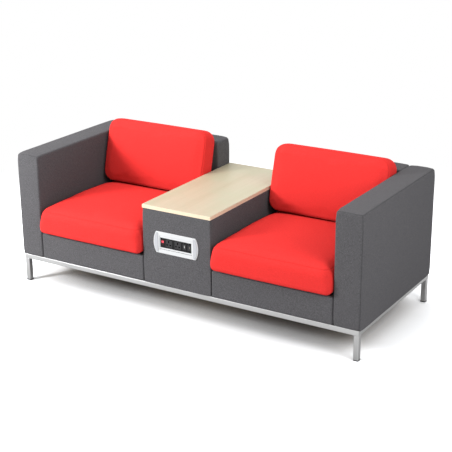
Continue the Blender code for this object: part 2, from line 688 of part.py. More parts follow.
def power_unit():
    """Socket unit: bezel, housing behind it, and a carrier that flips over to hide its sockets."""
    bezel_back = FRONT - SEAT_FIT
    bezel_front = FRONT - BEZEL_THICKNESS
    outline = [(x, z + POWER_HEIGHT) for x, z in
               bulged_outline(BEZEL_WIDTH / 2, BEZEL_HEIGHT / 2, BEZEL_BULGE)]
    bezel = place("power_bezel", mesh_from(extruded_xz(outline, bezel_front, bezel_back), "bezel"),
                  "white_plastic", smooth=30)
    bevel(bezel, BEZEL_EDGE, 2, 40)
    half_window = CARRIER_WIDTH / 2 + CARRIER_SIDE_PLAY
    cut_box(bezel, (-half_window, FRONT - BOARD, POWER_HEIGHT - WINDOW_HALF_HEIGHT),
            (half_window, FRONT + BOARD, POWER_HEIGHT + WINDOW_HALF_HEIGHT), "window")
    end_caps(bezel_front)
    housing()
    flip_carrier()


def end_caps(bezel_front):
    """Pale grey plates let on to both ends of the bezel, bowed like its ends."""
    half_width = BEZEL_WIDTH / 2 - CAP_MARGIN
    half_height = BEZEL_HEIGHT / 2 - CAP_MARGIN
    arc = bulged_outline(half_width, half_height, BEZEL_BULGE * 0.8)
    arc = arc[:len(arc) // 2]
    inner = half_width - CAP_WIDTH
    for side, sign in SIDES.items():
        outline = [(sign * x, z + POWER_HEIGHT) for x, z in
                   [(inner, -half_height)] + arc + [(inner, half_height)]]
        name = f"power_{side}_cap"
        back_y = bezel_front - SEAT_FIT
        cap = place(name, mesh_from(extruded_xz(outline, back_y - CAP_THICKNESS, back_y), name),
                    "pale_grey_plastic")
        bevel(cap, CAP_THICKNESS / 3, 1, 40)


def housing():
    """Open-fronted box behind the bezel, with pivot bores in its ends and a cable inlet at its back."""
    half_x, half_z = HOUSING_WIDTH / 2, HOUSING_HEIGHT / 2
    box = block("power_housing", (-half_x, HOUSING_FRONT, POWER_HEIGHT - half_z),
                (half_x, HOUSING_BACK, POWER_HEIGHT + half_z), "black_plastic")
    neck = cylinder_form(INLET_RADIUS, (0, HOUSING_INNER_BACK, POWER_HEIGHT),
                         (0, HOUSING_BACK + INLET_LENGTH, POWER_HEIGHT), "Y", PIVOT_SIDES)
    add = box.modifiers.new("inlet neck", "BOOLEAN")
    add.operation = "UNION"
    add.object = cutter("power_housing_inlet", mesh_from(neck, "inlet"))
    inner_x, inner_z = HOUSING_INNER_WIDTH / 2, HOUSING_INNER_HEIGHT / 2
    cut_box(box, (-inner_x, HOUSING_FRONT - BOARD, POWER_HEIGHT - inner_z),
            (inner_x, HOUSING_INNER_BACK, POWER_HEIGHT + inner_z), "hollow")
    bores = [cylinder_form(PIVOT_RADIUS + SEAT_FIT, (-half_x - BOARD, AXIS_Y, POWER_HEIGHT),
                           (half_x + BOARD, AXIS_Y, POWER_HEIGHT), "X", PIVOT_SIDES),
             cylinder_form(INLET_BORE, (0, HOUSING_INNER_BACK - HOUSING_WALL, POWER_HEIGHT),
                           (0, HOUSING_BACK + INLET_LENGTH + BOARD, POWER_HEIGHT), "Y", PIVOT_SIDES)]
    cut_forms(box, bores, "bores")


def form_of(mesh):
    form = bmesh.new()
    form.from_mesh(mesh)
    bmesh.ops.remove_doubles(form, verts=form.verts, dist=0.00001)
    return form


def flip_carrier():
    """Carrier with two sockets, two ports and a rocker switch on one side and a blank other side."""
    axis = (0, AXIS_Y, POWER_HEIGHT)
    pivot = bpy.data.objects.new("flip_axis", None)
    pivot.location = axis
    SOFA.objects.link(pivot)
    half = Vector((CARRIER_WIDTH, CARRIER_DEPTH, CARRIER_HEIGHT)) / 2
    form = cube_form(-half, half)
    long_edges = [edge for edge in form.edges if abs(edge.verts[0].co.x - edge.verts[1].co.x) > TUBE]
    bmesh.ops.bevel(form, geom=long_edges, offset=CARRIER_EDGE, segments=3, profile=0.5, affect="EDGES")
    body = place("flip_carrier", mesh_from(form, "flip_carrier"), "white_plastic", smooth=40)
    body.parent = pivot
    face = -half.y
    plate_half = Vector((PLATE_WIDTH / 2, 0, PLATE_HEIGHT / 2))
    pocket = SEAT_FIT
    recess = cube_form((-plate_half.x - pocket, face - PLATE_THICKNESS, -plate_half.z - pocket),
                       (plate_half.x + pocket, face + PLATE_THICKNESS + pocket, plate_half.z + pocket))
    pockets = [insert_form(x, size, face + PLATE_THICKNESS / 2, depth, SEAT_FIT)
               for x, size, depth in inserts()]
    whole = union_mesh([recess] + pockets, "carrier_pockets")
    tool = cutter("carrier_pockets", whole, axis)
    cut(body, tool, "pockets")
    pins = [cylinder_form(PIVOT_RADIUS + SEAT_FIT, (sign * (half.x - PIVOT_IN_CARRIER - SEAT_FIT), 0, 0),
                          (sign * (half.x + TUBE), 0, 0), "X", PIVOT_SIDES) for sign in (-1, 1)]
    cut(body, cutter("carrier_pin_holes", join_forms(pins, "pin_holes"), axis), "pin holes")
    socket_plate(pivot, face, plate_half)
    for index, x in enumerate(SOCKET_X):
        socket(("left", "right")[index] + "_socket", pivot, x, face)
        port(("left", "right")[index] + "_port", pivot, PORT_X[index], face)
    rocker(pivot, face)
    pin_end = HOUSING_WIDTH / 2
    for side, sign in SIDES.items():
        form = cylinder_form(PIVOT_RADIUS, (sign * (half.x - PIVOT_IN_CARRIER), 0, 0), (sign * pin_end, 0, 0),
                             "X", PIVOT_SIDES)
        pin = place(side + "_flip_pin", mesh_from(form, "flip_pin"), "zinc_steel", smooth=40)
        pin.parent = pivot


def inserts():
    """Centre, size and depth of everything that is let into the socket plate."""
    rows = [(x, (SOCKET_SIZE, SOCKET_SIZE), SOCKET_DEPTH) for x in SOCKET_X]
    rows += [(x, PORT_SIZE, SOCKET_DEPTH) for x in PORT_X]
    rows.append((ROCKER_X, ROCKER_SIZE, ROCKER_DEPTH + ROCKER_PROUD))
    return rows


def insert_form(x, size, front, depth, play):
    return cube_form((x - size[0] / 2 - play, front, -size[1] / 2 - play),
                     (x + size[0] / 2 + play, -CARRIER_DEPTH / 2 + depth + play, size[1] / 2 + play))


def union_mesh(forms, name):
    """Boolean union of several solids as one mesh."""
    first = bpy.data.objects.new(name + "_base", mesh_from(forms[0], name))
    CUTTERS.objects.link(first)
    others = []
    for form in forms[1:]:
        other = bpy.data.objects.new(name + "_add", mesh_from(form, name))
        CUTTERS.objects.link(other)
        others.append(other)
        add = first.modifiers.new("add", "BOOLEAN")
        add.operation = "UNION"
        add.object = other
    whole = evaluated_copy(first, name)
    for item in [first] + others:
        bpy.data.objects.remove(item, do_unlink=True)
    return whole


def socket_plate(pivot, face, plate_half):
    """Black plate that frames the sockets, the ports and the switch."""
    plate = place("socket_plate", mesh_from(cube_form((-plate_half.x, face, -plate_half.z),
                                                      (plate_half.x, face + PLATE_THICKNESS, plate_half.z)),
                                            "socket_plate"), "black_plastic")
    plate.parent = pivot
    holes = [insert_form(x, size, face - PLATE_THICKNESS, PLATE_THICKNESS * 2, SEAT_FIT)
             for x, size, _ in inserts()]
    tool = cutter("socket_plate_holes", join_forms(holes, "plate_holes"), pivot.location)
    cut(plate, tool, "holes")


def socket(name, pivot, x, face):
    """Three-pin socket insert: one upright slot above two level ones."""
    half = SOCKET_SIZE / 2
    piece = place(name, mesh_from(cube_form((-half, face + SOCKET_RIM, -half), (half, face + SOCKET_DEPTH, half)),
                                  name), "black_plastic", (x, 0, 0))
    piece.parent = pivot
    slots = [(0, SLOT_RISE, EARTH_SLOT), (-LINE_SPACING / 2, -SLOT_DROP, LINE_SLOT),
             (LINE_SPACING / 2, -SLOT_DROP, LINE_SLOT)]
    forms = [cube_form((centre - size[0] / 2, face - SOCKET_RIM, level - size[1] / 2),
                       (centre + size[0] / 2, face + SOCKET_RIM + SLOT_DEPTH, level + size[1] / 2))
             for centre, level, size in slots]
    tool = cutter(name + "_slots", join_forms(forms, name), pivot.location + Vector((x, 0, 0)))
    cut(piece, tool, "slots")


def port(name, pivot, x, face):
    """Charging port insert with one upright slot."""
    half_x, half_z = PORT_SIZE[0] / 2, PORT_SIZE[1] / 2
    form = cube_form((-half_x, face + SOCKET_RIM, -half_z), (half_x, face + SOCKET_DEPTH, half_z))
    piece = place(name, mesh_from(form, name), "black_plastic", (x, 0, 0))
    piece.parent = pivot
    slot = cube_form((-PORT_SLOT[0] / 2, face - SOCKET_RIM, -PORT_SLOT[1] / 2),
                     (PORT_SLOT[0] / 2, face + SOCKET_RIM + PORT_SLOT_DEPTH, PORT_SLOT[1] / 2))
    cut(piece, cutter(name + "_slot", mesh_from(slot, name), pivot.location + Vector((x, 0, 0))), "slot")


def rocker(pivot, face):
    """Red rocker switch, which tips about a level axis through its middle."""
    axle = bpy.data.objects.new("rocker_axis", None)
    axle.location = (ROCKER_X, face + ROCKER_DEPTH / 2, 0)
    axle.parent = pivot
    SOFA.objects.link(axle)
    half_x, half_z = ROCKER_SIZE[0] / 2, ROCKER_SIZE[1] / 2
    drop = half_z * math.sin(ROCKER_TILT)
    slack = ROCKER_DEPTH / 2 * math.sin(ROCKER_TILT)
    reach = (half_z - slack - SEAT_FIT) * math.cos(ROCKER_TILT)
    deep = ROCKER_DEPTH / 2 - drop
    proud = ROCKER_DEPTH / 2 + ROCKER_PROUD
    outline = [(-reach, -proud), (0, -proud + drop), (reach, -proud), (reach, deep - SEAT_FIT),
               (-reach, deep - SEAT_FIT)]
    form = extruded_xz(outline, -half_x, half_x)
    mesh = mesh_from(form, "rocker_switch")
    # The outline was drawn with its height along X and its depth along Z
    turn = Matrix(((0, 1, 0, 0), (0, 0, 1, 0), (1, 0, 0, 0), (0, 0, 0, 1)))
    mesh.transform(Matrix.Rotation(-ROCKER_TILT, 4, "X") @ turn)
    piece = place("rocker_switch", mesh_from(form_of(mesh), "rocker_switch"), "red_plastic")
    piece.parent = axle


clear_scene()
SOFA = collection("two_seater_modular_sofa")
CUTTERS = collection("cutters")
base_frame()
frame_bolts()
for SIDE, SIGN in SIDES.items():
    arm(SIDE, SIGN)
    back(SIDE, SIGN)
    seat_base(SIDE, SIGN)
    seat_cushion(SIDE, SIGN)
    back_cushion(SIDE, SIGN)
console()
power_unit()
bpy.context.view_layer.update()
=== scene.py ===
"""Looks of a two-seater modular sofa with a centre console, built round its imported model.

Metres, +Z up, the seats face -Y, and +X is to the right of someone who looks at the front.
"""
import math

import bmesh
import bpy
from mathutils import Matrix, Vector, noise


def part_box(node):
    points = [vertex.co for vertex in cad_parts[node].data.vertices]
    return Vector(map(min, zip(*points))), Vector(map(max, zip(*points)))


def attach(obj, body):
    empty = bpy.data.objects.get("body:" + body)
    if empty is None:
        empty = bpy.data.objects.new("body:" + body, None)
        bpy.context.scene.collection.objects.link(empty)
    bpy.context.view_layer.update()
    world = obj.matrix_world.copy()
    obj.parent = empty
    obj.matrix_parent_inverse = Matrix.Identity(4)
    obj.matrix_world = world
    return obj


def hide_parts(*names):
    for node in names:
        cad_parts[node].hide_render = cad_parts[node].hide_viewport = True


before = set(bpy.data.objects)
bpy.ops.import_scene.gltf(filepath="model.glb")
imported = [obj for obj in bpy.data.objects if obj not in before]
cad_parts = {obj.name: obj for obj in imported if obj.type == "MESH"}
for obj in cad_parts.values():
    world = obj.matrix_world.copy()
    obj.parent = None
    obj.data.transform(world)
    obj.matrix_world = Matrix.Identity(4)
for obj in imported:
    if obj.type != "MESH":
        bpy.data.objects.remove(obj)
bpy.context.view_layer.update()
SIDES = {"left": -1, "right": 1}


# Camera: a long lens to the right of the sofa's front and a little above it. It turns by a hair
# about its own line of sight.

VIEW_AZIMUTH = math.radians(31.667)
VIEW_ELEVATION = math.radians(19.468)
VIEW_ROLL = math.radians(-0.428)
VIEW_DISTANCE = 5.706
VIEW_TARGET = Vector((0, 0.017, 0.33))
VIEW_OFFSET = (0.0238, 0.0108)
LENS_MM = 91.6
CAMERA_REACH = 60

back_ray = Vector((math.sin(VIEW_AZIMUTH) * math.cos(VIEW_ELEVATION),
                   -math.cos(VIEW_AZIMUTH) * math.cos(VIEW_ELEVATION), math.sin(VIEW_ELEVATION)))
level_right = Vector((math.cos(VIEW_AZIMUTH), math.sin(VIEW_AZIMUTH), 0))
level_up = back_ray.cross(level_right)
view_right = level_right * math.cos(VIEW_ROLL) + level_up * math.sin(VIEW_ROLL)
view_up = level_up * math.cos(VIEW_ROLL) - level_right * math.sin(VIEW_ROLL)
camera = bpy.data.objects.new("camera", bpy.data.cameras.new("camera"))
camera.data.lens = LENS_MM
camera.data.clip_end = CAMERA_REACH
camera_place = (VIEW_TARGET + back_ray * VIEW_DISTANCE + view_right * VIEW_OFFSET[0]
                + view_up * VIEW_OFFSET[1])
camera_turn = Matrix((view_right, view_up, back_ray)).transposed().to_4x4()
camera.matrix_world = Matrix.Translation(camera_place) @ camera_turn
bpy.context.scene.collection.objects.link(camera)
bpy.context.scene.camera = camera
bpy.context.scene.view_settings.view_transform = "Standard"


# Studio: a soft lamp close to the left front, a wider one overhead and a low one on the right, in a
# white room that is dimmer high on the right. The floor is white where no shadow falls, it is seen
# only from above, and steel sees it a little less bright towards the rear. Near and under the sofa
# the floor's colour carries painted shade, darker where the sofa closes it in, and what steel sees
# of it is a painted reflection with that painted shade in it.

KEY_PLACE = Vector((-2.15, -2.33, 1.59))
KEY_TARGET = Vector((-0.40, -0.10, 0.40))
KEY_SIZE = 0.62
KEY_WATTS = 81
TOP_PLACE = Vector((-0.80, 0.30, 2.60))
TOP_TARGET = Vector((-0.60, 0.10, 0.60))
TOP_SIZE = 1.5
TOP_WATTS = 20
SIDE_PLACE = Vector((2.50, -0.80, 1.70))
SIDE_TARGET = Vector((0.60, 0.00, 0.40))
SIDE_SIZE = 1.0
SIDE_WATTS = 20
AMBIENT = 0.72
DIM_AMBIENT = 0.50
DIM_DIRECTION = Vector((0.74, -0.20, 0.64))
DIM_REACH = (0.15, 0.75)
FLOOR_RADIUS = 9.0
FLOOR_CORNERS = 96
FLOOR_LEVEL = -0.0005
FLOOR_SHADE = 0.60
FLOOR_SHADE_SEEN = 2.2
FLOOR_TINT = (0.985, 1.0, 1.02)
FLOOR_SHINE = (1.0, 0.66)
SHINE_REACH = (-0.7, 0.1)
SHINE_DEPTH = 2.2
CONTACT_REACH = 0.5
CONTACT_SHADE_DEPTH = 0.7
CONTACT_SAMPLES = 24
SHADOW_REACH = (1.5, 2.6)
WHITE = (1, 1, 1, 1)


def add_node(tree, kind, inputs=(), **settings):
    """A node with its settings, and with its inputs given as values or linked from other sockets."""
    node = tree.nodes.new(kind)
    for key, value in settings.items():
        setattr(node, key, value)
    for key, value in dict(inputs).items():
        if isinstance(value, bpy.types.NodeSocket):
            tree.links.new(value, node.inputs[key])
        else:
            node.inputs[key].default_value = value
    return node


def math_node(tree, operation, first, second=0.0, clamp=False):
    made = add_node(tree, "ShaderNodeMath", {0: first, 1: second}, operation=operation, use_clamp=clamp)
    return made.outputs[0]


def ranged(tree, value, source=(0.0, 1.0), target=(0.0, 1.0), **settings):
    """A number carried over from one range to another."""
    ends = {"From Min": source[0], "From Max": source[1], "To Min": target[0], "To Max": target[1]}
    return add_node(tree, "ShaderNodeMapRange", {"Value": value, **ends}, **settings).outputs[0]


def vector_node(tree, operation, inputs):
    return add_node(tree, "ShaderNodeVectorMath", inputs, operation=operation).outputs


def scaled(tree, vector, factor):
    return vector_node(tree, "SCALE", {0: vector, "Scale": factor})[0]


def parts_of(tree, vector):
    return add_node(tree, "ShaderNodeSeparateXYZ", {0: vector}).outputs


def piece_place(tree):
    return add_node(tree, "ShaderNodeTexCoord").outputs["Object"]


def studio_lamp(name, place, target, size, watts):
    lamp = bpy.data.objects.new(name, bpy.data.lights.new(name, "AREA"))
    lamp.data.size = size
    lamp.data.energy = watts
    lamp.location = place
    lamp.rotation_euler = (place - target).to_track_quat("Z", "Y").to_euler()
    bpy.context.scene.collection.objects.link(lamp)


def studio_floor():
    form = bmesh.new()
    bmesh.ops.create_circle(form, cap_ends=True, segments=FLOOR_CORNERS, radius=FLOOR_RADIUS)
    mesh = bpy.data.meshes.new("floor")
    form.to_mesh(mesh)
    form.free()
    floor = bpy.data.objects.new("floor", mesh)
    floor.location.z = FLOOR_LEVEL
    bpy.context.scene.collection.objects.link(floor)
    paint = bpy.data.materials.new("floor_white")
    paint.use_nodes = True
    tree = paint.node_tree
    tree.nodes.clear()
    path = add_node(tree, "ShaderNodeLightPath")
    seen = path.outputs["Is Camera Ray"]
    openness = add_node(tree, "ShaderNodeAmbientOcclusion", {"Distance": CONTACT_REACH},
                        samples=CONTACT_SAMPLES).outputs["AO"]
    # Painted shade: the floor seen by the camera is darker where the sofa closes it in, beyond the lamps'
    # shadows.
    painted_contact_shade = math_node(tree, "POWER", openness, CONTACT_SHADE_DEPTH)
    bright_shade = math_node(tree, "MULTIPLY", painted_contact_shade, FLOOR_SHADE_SEEN)
    shade = ranged(tree, seen, target=(FLOOR_SHADE, bright_shade))
    matt = add_node(tree, "ShaderNodeBsdfDiffuse", {"Color": scaled(tree, FLOOR_TINT, shade)})
    place = piece_place(tree)
    away = vector_node(tree, "LENGTH", {0: place})["Value"]
    edge = ranged(tree, away, SHADOW_REACH, interpolation_type="SMOOTHSTEP")
    bright = add_node(tree, "ShaderNodeEmission", {"Color": WHITE, "Strength": 1.0})
    mixed = add_node(tree, "ShaderNodeMixShader", {0: math_node(tree, "MULTIPLY", edge, seen),
                                                   1: matt.outputs[0], 2: bright.outputs[0]})
    # Painted reflection: steel sees the floor as a glow that dims towards the rear, with painted shade where
    # the sofa closes it in.
    shine = ranged(tree, parts_of(tree, place)["Y"], SHINE_REACH, FLOOR_SHINE)
    sheltered = math_node(tree, "POWER", openness, SHINE_DEPTH)
    painted_reflection = add_node(tree, "ShaderNodeEmission",
                        {"Color": WHITE, "Strength": math_node(tree, "MULTIPLY", sheltered, shine)})
    sharp = math_node(tree, "MAXIMUM", path.outputs["Is Glossy Ray"], path.outputs["Is Transmission Ray"])
    whole = add_node(tree, "ShaderNodeMixShader", {0: sharp, 1: mixed.outputs[0], 2: painted_reflection.outputs[0]})
    below = add_node(tree, "ShaderNodeNewGeometry").outputs["Backfacing"]
    one_sided = add_node(tree, "ShaderNodeMixShader", {
        0: below, 1: whole.outputs[0], 2: add_node(tree, "ShaderNodeBsdfTransparent").outputs[0]})
    add_node(tree, "ShaderNodeOutputMaterial", {"Surface": one_sided.outputs[0]})
    mesh.materials.append(paint)


def studio_world():
    world = bpy.data.worlds.new("studio")
    world.use_nodes = True
    bpy.context.scene.world = world
    tree = world.node_tree
    tree.nodes.clear()
    path = add_node(tree, "ShaderNodeLightPath")
    sharp = math_node(tree, "MAXIMUM", path.outputs["Is Glossy Ray"], path.outputs["Is Transmission Ray"])
    seen = math_node(tree, "MAXIMUM", path.outputs["Is Camera Ray"], sharp)
    ray = add_node(tree, "ShaderNodeTexCoord").outputs["Generated"]
    near = vector_node(tree, "DOT_PRODUCT", {0: ray, 1: DIM_DIRECTION.normalized()})["Value"]
    room = ranged(tree, near, DIM_REACH, (AMBIENT, DIM_AMBIENT))
    strength = ranged(tree, seen, target=(room, 1.0))
    sky = add_node(tree, "ShaderNodeBackground", {"Color": WHITE, "Strength": strength})
    add_node(tree, "ShaderNodeOutputWorld", {"Surface": sky.outputs[0]})


studio_lamp("key_lamp", KEY_PLACE, KEY_TARGET, KEY_SIZE, KEY_WATTS)
studio_lamp("top_lamp", TOP_PLACE, TOP_TARGET, TOP_SIZE, TOP_WATTS)
studio_lamp("side_lamp", SIDE_PLACE, SIDE_TARGET, SIDE_SIZE, SIDE_WATTS)
studio_floor()
studio_world()


# Base frame: square steel tube, mitred and welded, with a satin silver powder coat. The legs are
# welded under its corners, and a small bead of weld runs round the top of each one.

SILVER = (0.68, 0.68, 0.68, 1)
SILVER_ROUGHNESS = 0.38
COAT_SPECK = 900.0
COAT_BUMP = 0.5
ZINC = (0.56, 0.57, 0.60, 1)
NYLON_BLACK = (0.028, 0.028, 0.029, 1)
WELD_RADIUS = 0.0012
WELD_PITCH = 0.004
WELD_HOLLOW = 0.72


def new_group(name, inputs, outputs):
    """A shader node group with named sockets, and its two end nodes."""
    tree = bpy.data.node_groups.new(name, "ShaderNodeTree")
    for label, value in inputs.items():
        kind = "NodeSocketFloat" if isinstance(value, float) else "NodeSocketColor"
        if isinstance(value, Vector):
            kind = "NodeSocketVector"
        tree.interface.new_socket(name=label, in_out="INPUT", socket_type=kind).default_value = value
    for label, kind in outputs.items():
        tree.interface.new_socket(name=label, in_out="OUTPUT", socket_type=kind)
    return tree, tree.nodes.new("NodeGroupInput").outputs, tree.nodes.new("NodeGroupOutput").inputs


def toned(tree, share, first, second):
    """A colour between two others."""
    mix = add_node(tree, "ShaderNodeMix", {"Factor": share, "A": first, "B": second}, data_type="RGBA")
    return mix.outputs["Result"]


def speckle_group():
    """Fine grain of a powder coat or of spark-finished plastic, with a slow change of tone."""
    tree, given, result = new_group("speckle", {"Scale": COAT_SPECK, "Cloud": 6.0},
                                    {"Grain": "NodeSocketFloat", "Tone": "NodeSocketFloat"})
    place = piece_place(tree)
    grain = add_node(tree, "ShaderNodeTexNoise", {"Vector": place, "Scale": given["Scale"], "Detail": 2.0})
    tone = add_node(tree, "ShaderNodeTexNoise", {"Vector": place, "Scale": given["Cloud"], "Detail": 3.0})
    tree.links.new(grain.outputs[0], result["Grain"])
    tree.links.new(tone.outputs[0], result["Tone"])
    return tree


SPECKLE = speckle_group()


def plain_finish(name, colour, roughness, metallic=0.0, grain=COAT_SPECK, bump=0.00003, spread=0.06,
                 cloud=6.0, **extra):
    """Paint, plating or moulded plastic: one colour with fine grain and a slow change of tone."""
    made = bpy.data.materials.new(name)
    made.use_nodes = True
    tree = made.node_tree
    shader = tree.nodes["Principled BSDF"]
    speckle = add_node(tree, "ShaderNodeGroup", node_tree=SPECKLE)
    speckle.inputs["Scale"].default_value = grain
    speckle.inputs["Cloud"].default_value = cloud
    low = [channel * (1 - spread) for channel in colour[:3]] + [1]
    high = [min(1.0, channel * (1 + spread)) for channel in colour[:3]] + [1]
    tree.links.new(toned(tree, speckle.outputs["Tone"], low, high), shader.inputs["Base Color"])
    rough = ranged(tree, speckle.outputs["Grain"], target=(roughness * 0.85, roughness * 1.15))
    tree.links.new(rough, shader.inputs["Roughness"])
    rise = add_node(tree, "ShaderNodeBump", {"Strength": COAT_BUMP, "Distance": bump,
                                             "Height": speckle.outputs["Grain"]})
    tree.links.new(rise.outputs[0], shader.inputs["Normal"])
    shader.inputs["Metallic"].default_value = metallic
    for label, value in extra.items():
        shader.inputs[label.replace("_", " ")].default_value = value
    return made


def paint_node(name, material):
    """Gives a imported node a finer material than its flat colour."""
    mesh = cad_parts[name].data
    mesh.materials.clear()
    mesh.materials.append(material)


def new_piece(name, form, material, body="sofa", smooth=None):
    """A finished piece of the sofa from a bmesh, riding on one of the bodies."""
    mesh = bpy.data.meshes.new(name)
    form.to_mesh(mesh)
    form.free()
    piece = bpy.data.objects.new(name, mesh)
    bpy.context.scene.collection.objects.link(piece)
    mesh.materials.append(material)
    if smooth is not None:
        mesh.shade_smooth()
        mesh.set_sharp_from_angle(angle=math.radians(smooth))
    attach(piece, body)
    return piece


def weld_bead(name, loop, material):
    """A ring of overlapping weld ripples along a closed row of corners."""
    curve = bpy.data.curves.new(name, "CURVE")
    curve.dimensions = "3D"
    curve.bevel_depth = WELD_RADIUS
    curve.bevel_resolution = 1
    points = []
    for first, second in zip(loop, loop[1:] + loop[:1]):
        steps = max(2, round((second - first).length / WELD_PITCH * 2))
        points += [first.lerp(second, step / steps) for step in range(steps)]
    spline = curve.splines.new("POLY")
    spline.points.add(len(points) - 1)
    for index, (knot, point) in enumerate(zip(spline.points, points)):
        knot.co = (*point, 1)
        knot.radius = 1.0 if index % 2 else WELD_HOLLOW
    spline.use_cyclic_u = True
    bead = bpy.data.objects.new(name, curve)
    bpy.context.scene.collection.objects.link(bead)
    curve.materials.append(material)
    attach(bead, "sofa")


silver_coat = plain_finish("silver_powder_coat", SILVER, SILVER_ROUGHNESS, metallic=0.8, cloud=9.0)
zinc_plate = plain_finish("zinc_plate", ZINC, 0.32, metallic=1.0, cloud=40.0, spread=0.12)
black_nylon = plain_finish("black_nylon", NYLON_BLACK, 0.5, cloud=20.0, spread=0.2)
for rail in ("front_rail", "rear_rail", "centre_rail", "left_side_rail", "right_side_rail"):
    paint_node(rail, silver_coat)
for end in ("front", "rear"):
    for side in SIDES:
        paint_node(f"{end}_{side}_leg", silver_coat)
        paint_node(f"{end}_{side}_glide", black_nylon)
        paint_node(f"{end}_{side}_bolt", zinc_plate)
        low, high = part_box(f"{end}_{side}_leg")
        corners = ((low.x, low.y), (high.x, low.y), (high.x, high.y), (low.x, high.y))
        weld_bead(f"{end}_{side}_weld", [Vector((*corner, high.z)) for corner in corners], silver_coat)


# Hidden timber: softwood ladder frames inside the arms, backs and seats, and the console's boards.
# Sawn faces with the grain along the longest side, glued and stapled at the corners.

PINE_LIGHT = (0.60, 0.44, 0.27, 1)
PINE_DARK = (0.42, 0.27, 0.14, 1)
PINE_RINGS = 55.0
PINE_ROUGHNESS = 0.7
PINE_BUMP = 0.0002
STREAK_SHARE = 0.75
PORE_REACH = (0.45, 0.75)
PORE_SHARE = 0.35
GRAIN_WARP = 0.035


def grain_group():
    """Wood grain along one direction: long streaks and finer pores, for any board."""
    tree, given, result = new_group(
        "wood_grain", {"Stretch": Vector((1, 1, 1)), "Rings": PINE_RINGS, "Pores": 700.0},
        {"Streak": "NodeSocketFloat", "Pore": "NodeSocketFloat"})
    drawn = vector_node(tree, "MULTIPLY", {0: piece_place(tree), 1: given["Stretch"]})[0]
    warp = add_node(tree, "ShaderNodeTexNoise", {"Vector": drawn, "Scale": 3.0, "Detail": 2.0})
    bent = vector_node(tree, "MULTIPLY_ADD", {0: warp.outputs["Color"], 1: (GRAIN_WARP,) * 3, 2: drawn})[0]
    streak = add_node(tree, "ShaderNodeTexNoise", {"Vector": bent, "Scale": given["Rings"], "Detail": 4.0,
                                                   "Roughness": 0.55})
    pore = add_node(tree, "ShaderNodeTexNoise", {"Vector": bent, "Scale": given["Pores"], "Detail": 2.0})
    tree.links.new(streak.outputs[0], result["Streak"])
    tree.links.new(pore.outputs[0], result["Pore"])
    return tree


GRAIN = grain_group()


def wood_finish(name, light, dark, stretch, rings, roughness, bump, contrast=(0.35, 0.65)):
    """Sawn or printed wood: streaks between two tones, with fine pores in the relief."""
    made = bpy.data.materials.new(name)
    made.use_nodes = True
    tree = made.node_tree
    shader = tree.nodes["Principled BSDF"]
    grain = add_node(tree, "ShaderNodeGroup", node_tree=GRAIN)
    grain.inputs["Stretch"].default_value = stretch
    grain.inputs["Rings"].default_value = rings
    streak = ranged(tree, grain.outputs["Streak"], contrast)
    pore = ranged(tree, grain.outputs["Pore"], PORE_REACH, (0.0, PORE_SHARE))
    figure = math_node(tree, "ADD", math_node(tree, "MULTIPLY", streak, STREAK_SHARE), pore, clamp=True)
    tree.links.new(toned(tree, figure, light, dark), shader.inputs["Base Color"])
    rough = ranged(tree, figure, target=(roughness * 0.9, roughness * 1.15))
    tree.links.new(rough, shader.inputs["Roughness"])
    rise = add_node(tree, "ShaderNodeBump", {"Strength": 0.4, "Distance": bump,
                                             "Height": grain.outputs["Pore"]})
    tree.links.new(rise.outputs[0], shader.inputs["Normal"])
    return made


pine_along = {axis: wood_finish(f"pine_along_{axis}", PINE_LIGHT, PINE_DARK, stretch, PINE_RINGS,
                                PINE_ROUGHNESS, PINE_BUMP)
              for axis, stretch in (("x", (0.06, 1, 1)), ("y", (1, 0.06, 1)), ("z", (1, 1, 0.06)))}
for side in SIDES:
    paint_node(f"{side}_arm_frame", pine_along["y"])
    paint_node(f"{side}_back_frame", pine_along["x"])
    paint_node(f"console_{side}_board", pine_along["y"])
    paint_node(f"console_{side}_angle", zinc_plate)
for end in ("front", "rear", "bottom"):
    paint_node(f"console_{end}_board", pine_along["x"])


# Seat platforms: wide elastic webbing, five straps each way, woven over and under each other and
# stapled to the seat frame.

STRAP_COUNT = 5
STRAP_WIDTH = 0.060
STRAP_THICKNESS = 0.0010
STRAP_STEPS = 72
STRAP_SWING = 0.0006
STRAP_FLATNESS = 1.6
STRAP_RIB = 1250.0
STRAP_GREY = (0.045, 0.044, 0.046, 1)


def sine_of(tree, vector):
    return parts_of(tree, vector_node(tree, "SINE", {0: vector})[0])


def webbing_finish():
    """Black elastic ribbon with a fine rib across both of its directions."""
    made = plain_finish("elastic_webbing", STRAP_GREY, 0.75, spread=0.25, cloud=30.0)
    tree = made.node_tree
    wave = sine_of(tree, scaled(tree, piece_place(tree), STRAP_RIB))
    height = math_node(tree, "MULTIPLY", wave["X"], wave["Y"])
    rise = add_node(tree, "ShaderNodeBump", {"Strength": 0.6, "Distance": 0.0003, "Height": height})
    tree.links.new(rise.outputs[0], tree.nodes["Principled BSDF"].inputs["Normal"])
    return made


def strap(form, low, high, run, middle, level, phase):
    """One ribbon of webbing that swings over and under those that it crosses."""
    across = 1 - run
    rows = []
    for step in range(STRAP_STEPS + 1):
        share = step / STRAP_STEPS
        swing = math.sin((share * STRAP_COUNT + 0.5) * math.pi + phase)
        height = level + STRAP_SWING * max(-1.0, min(1.0, swing * STRAP_FLATNESS))
        row = []
        for offset in (-STRAP_WIDTH / 2, STRAP_WIDTH / 2):
            point = Vector((0, 0, height))
            point[run] = low[run] + (high[run] - low[run]) * share
            point[across] = middle + offset
            row.append(form.verts.new(point))
        rows.append(row)
    for first, second in zip(rows, rows[1:]):
        form.faces.new((first[0], first[1], second[1], second[0]))


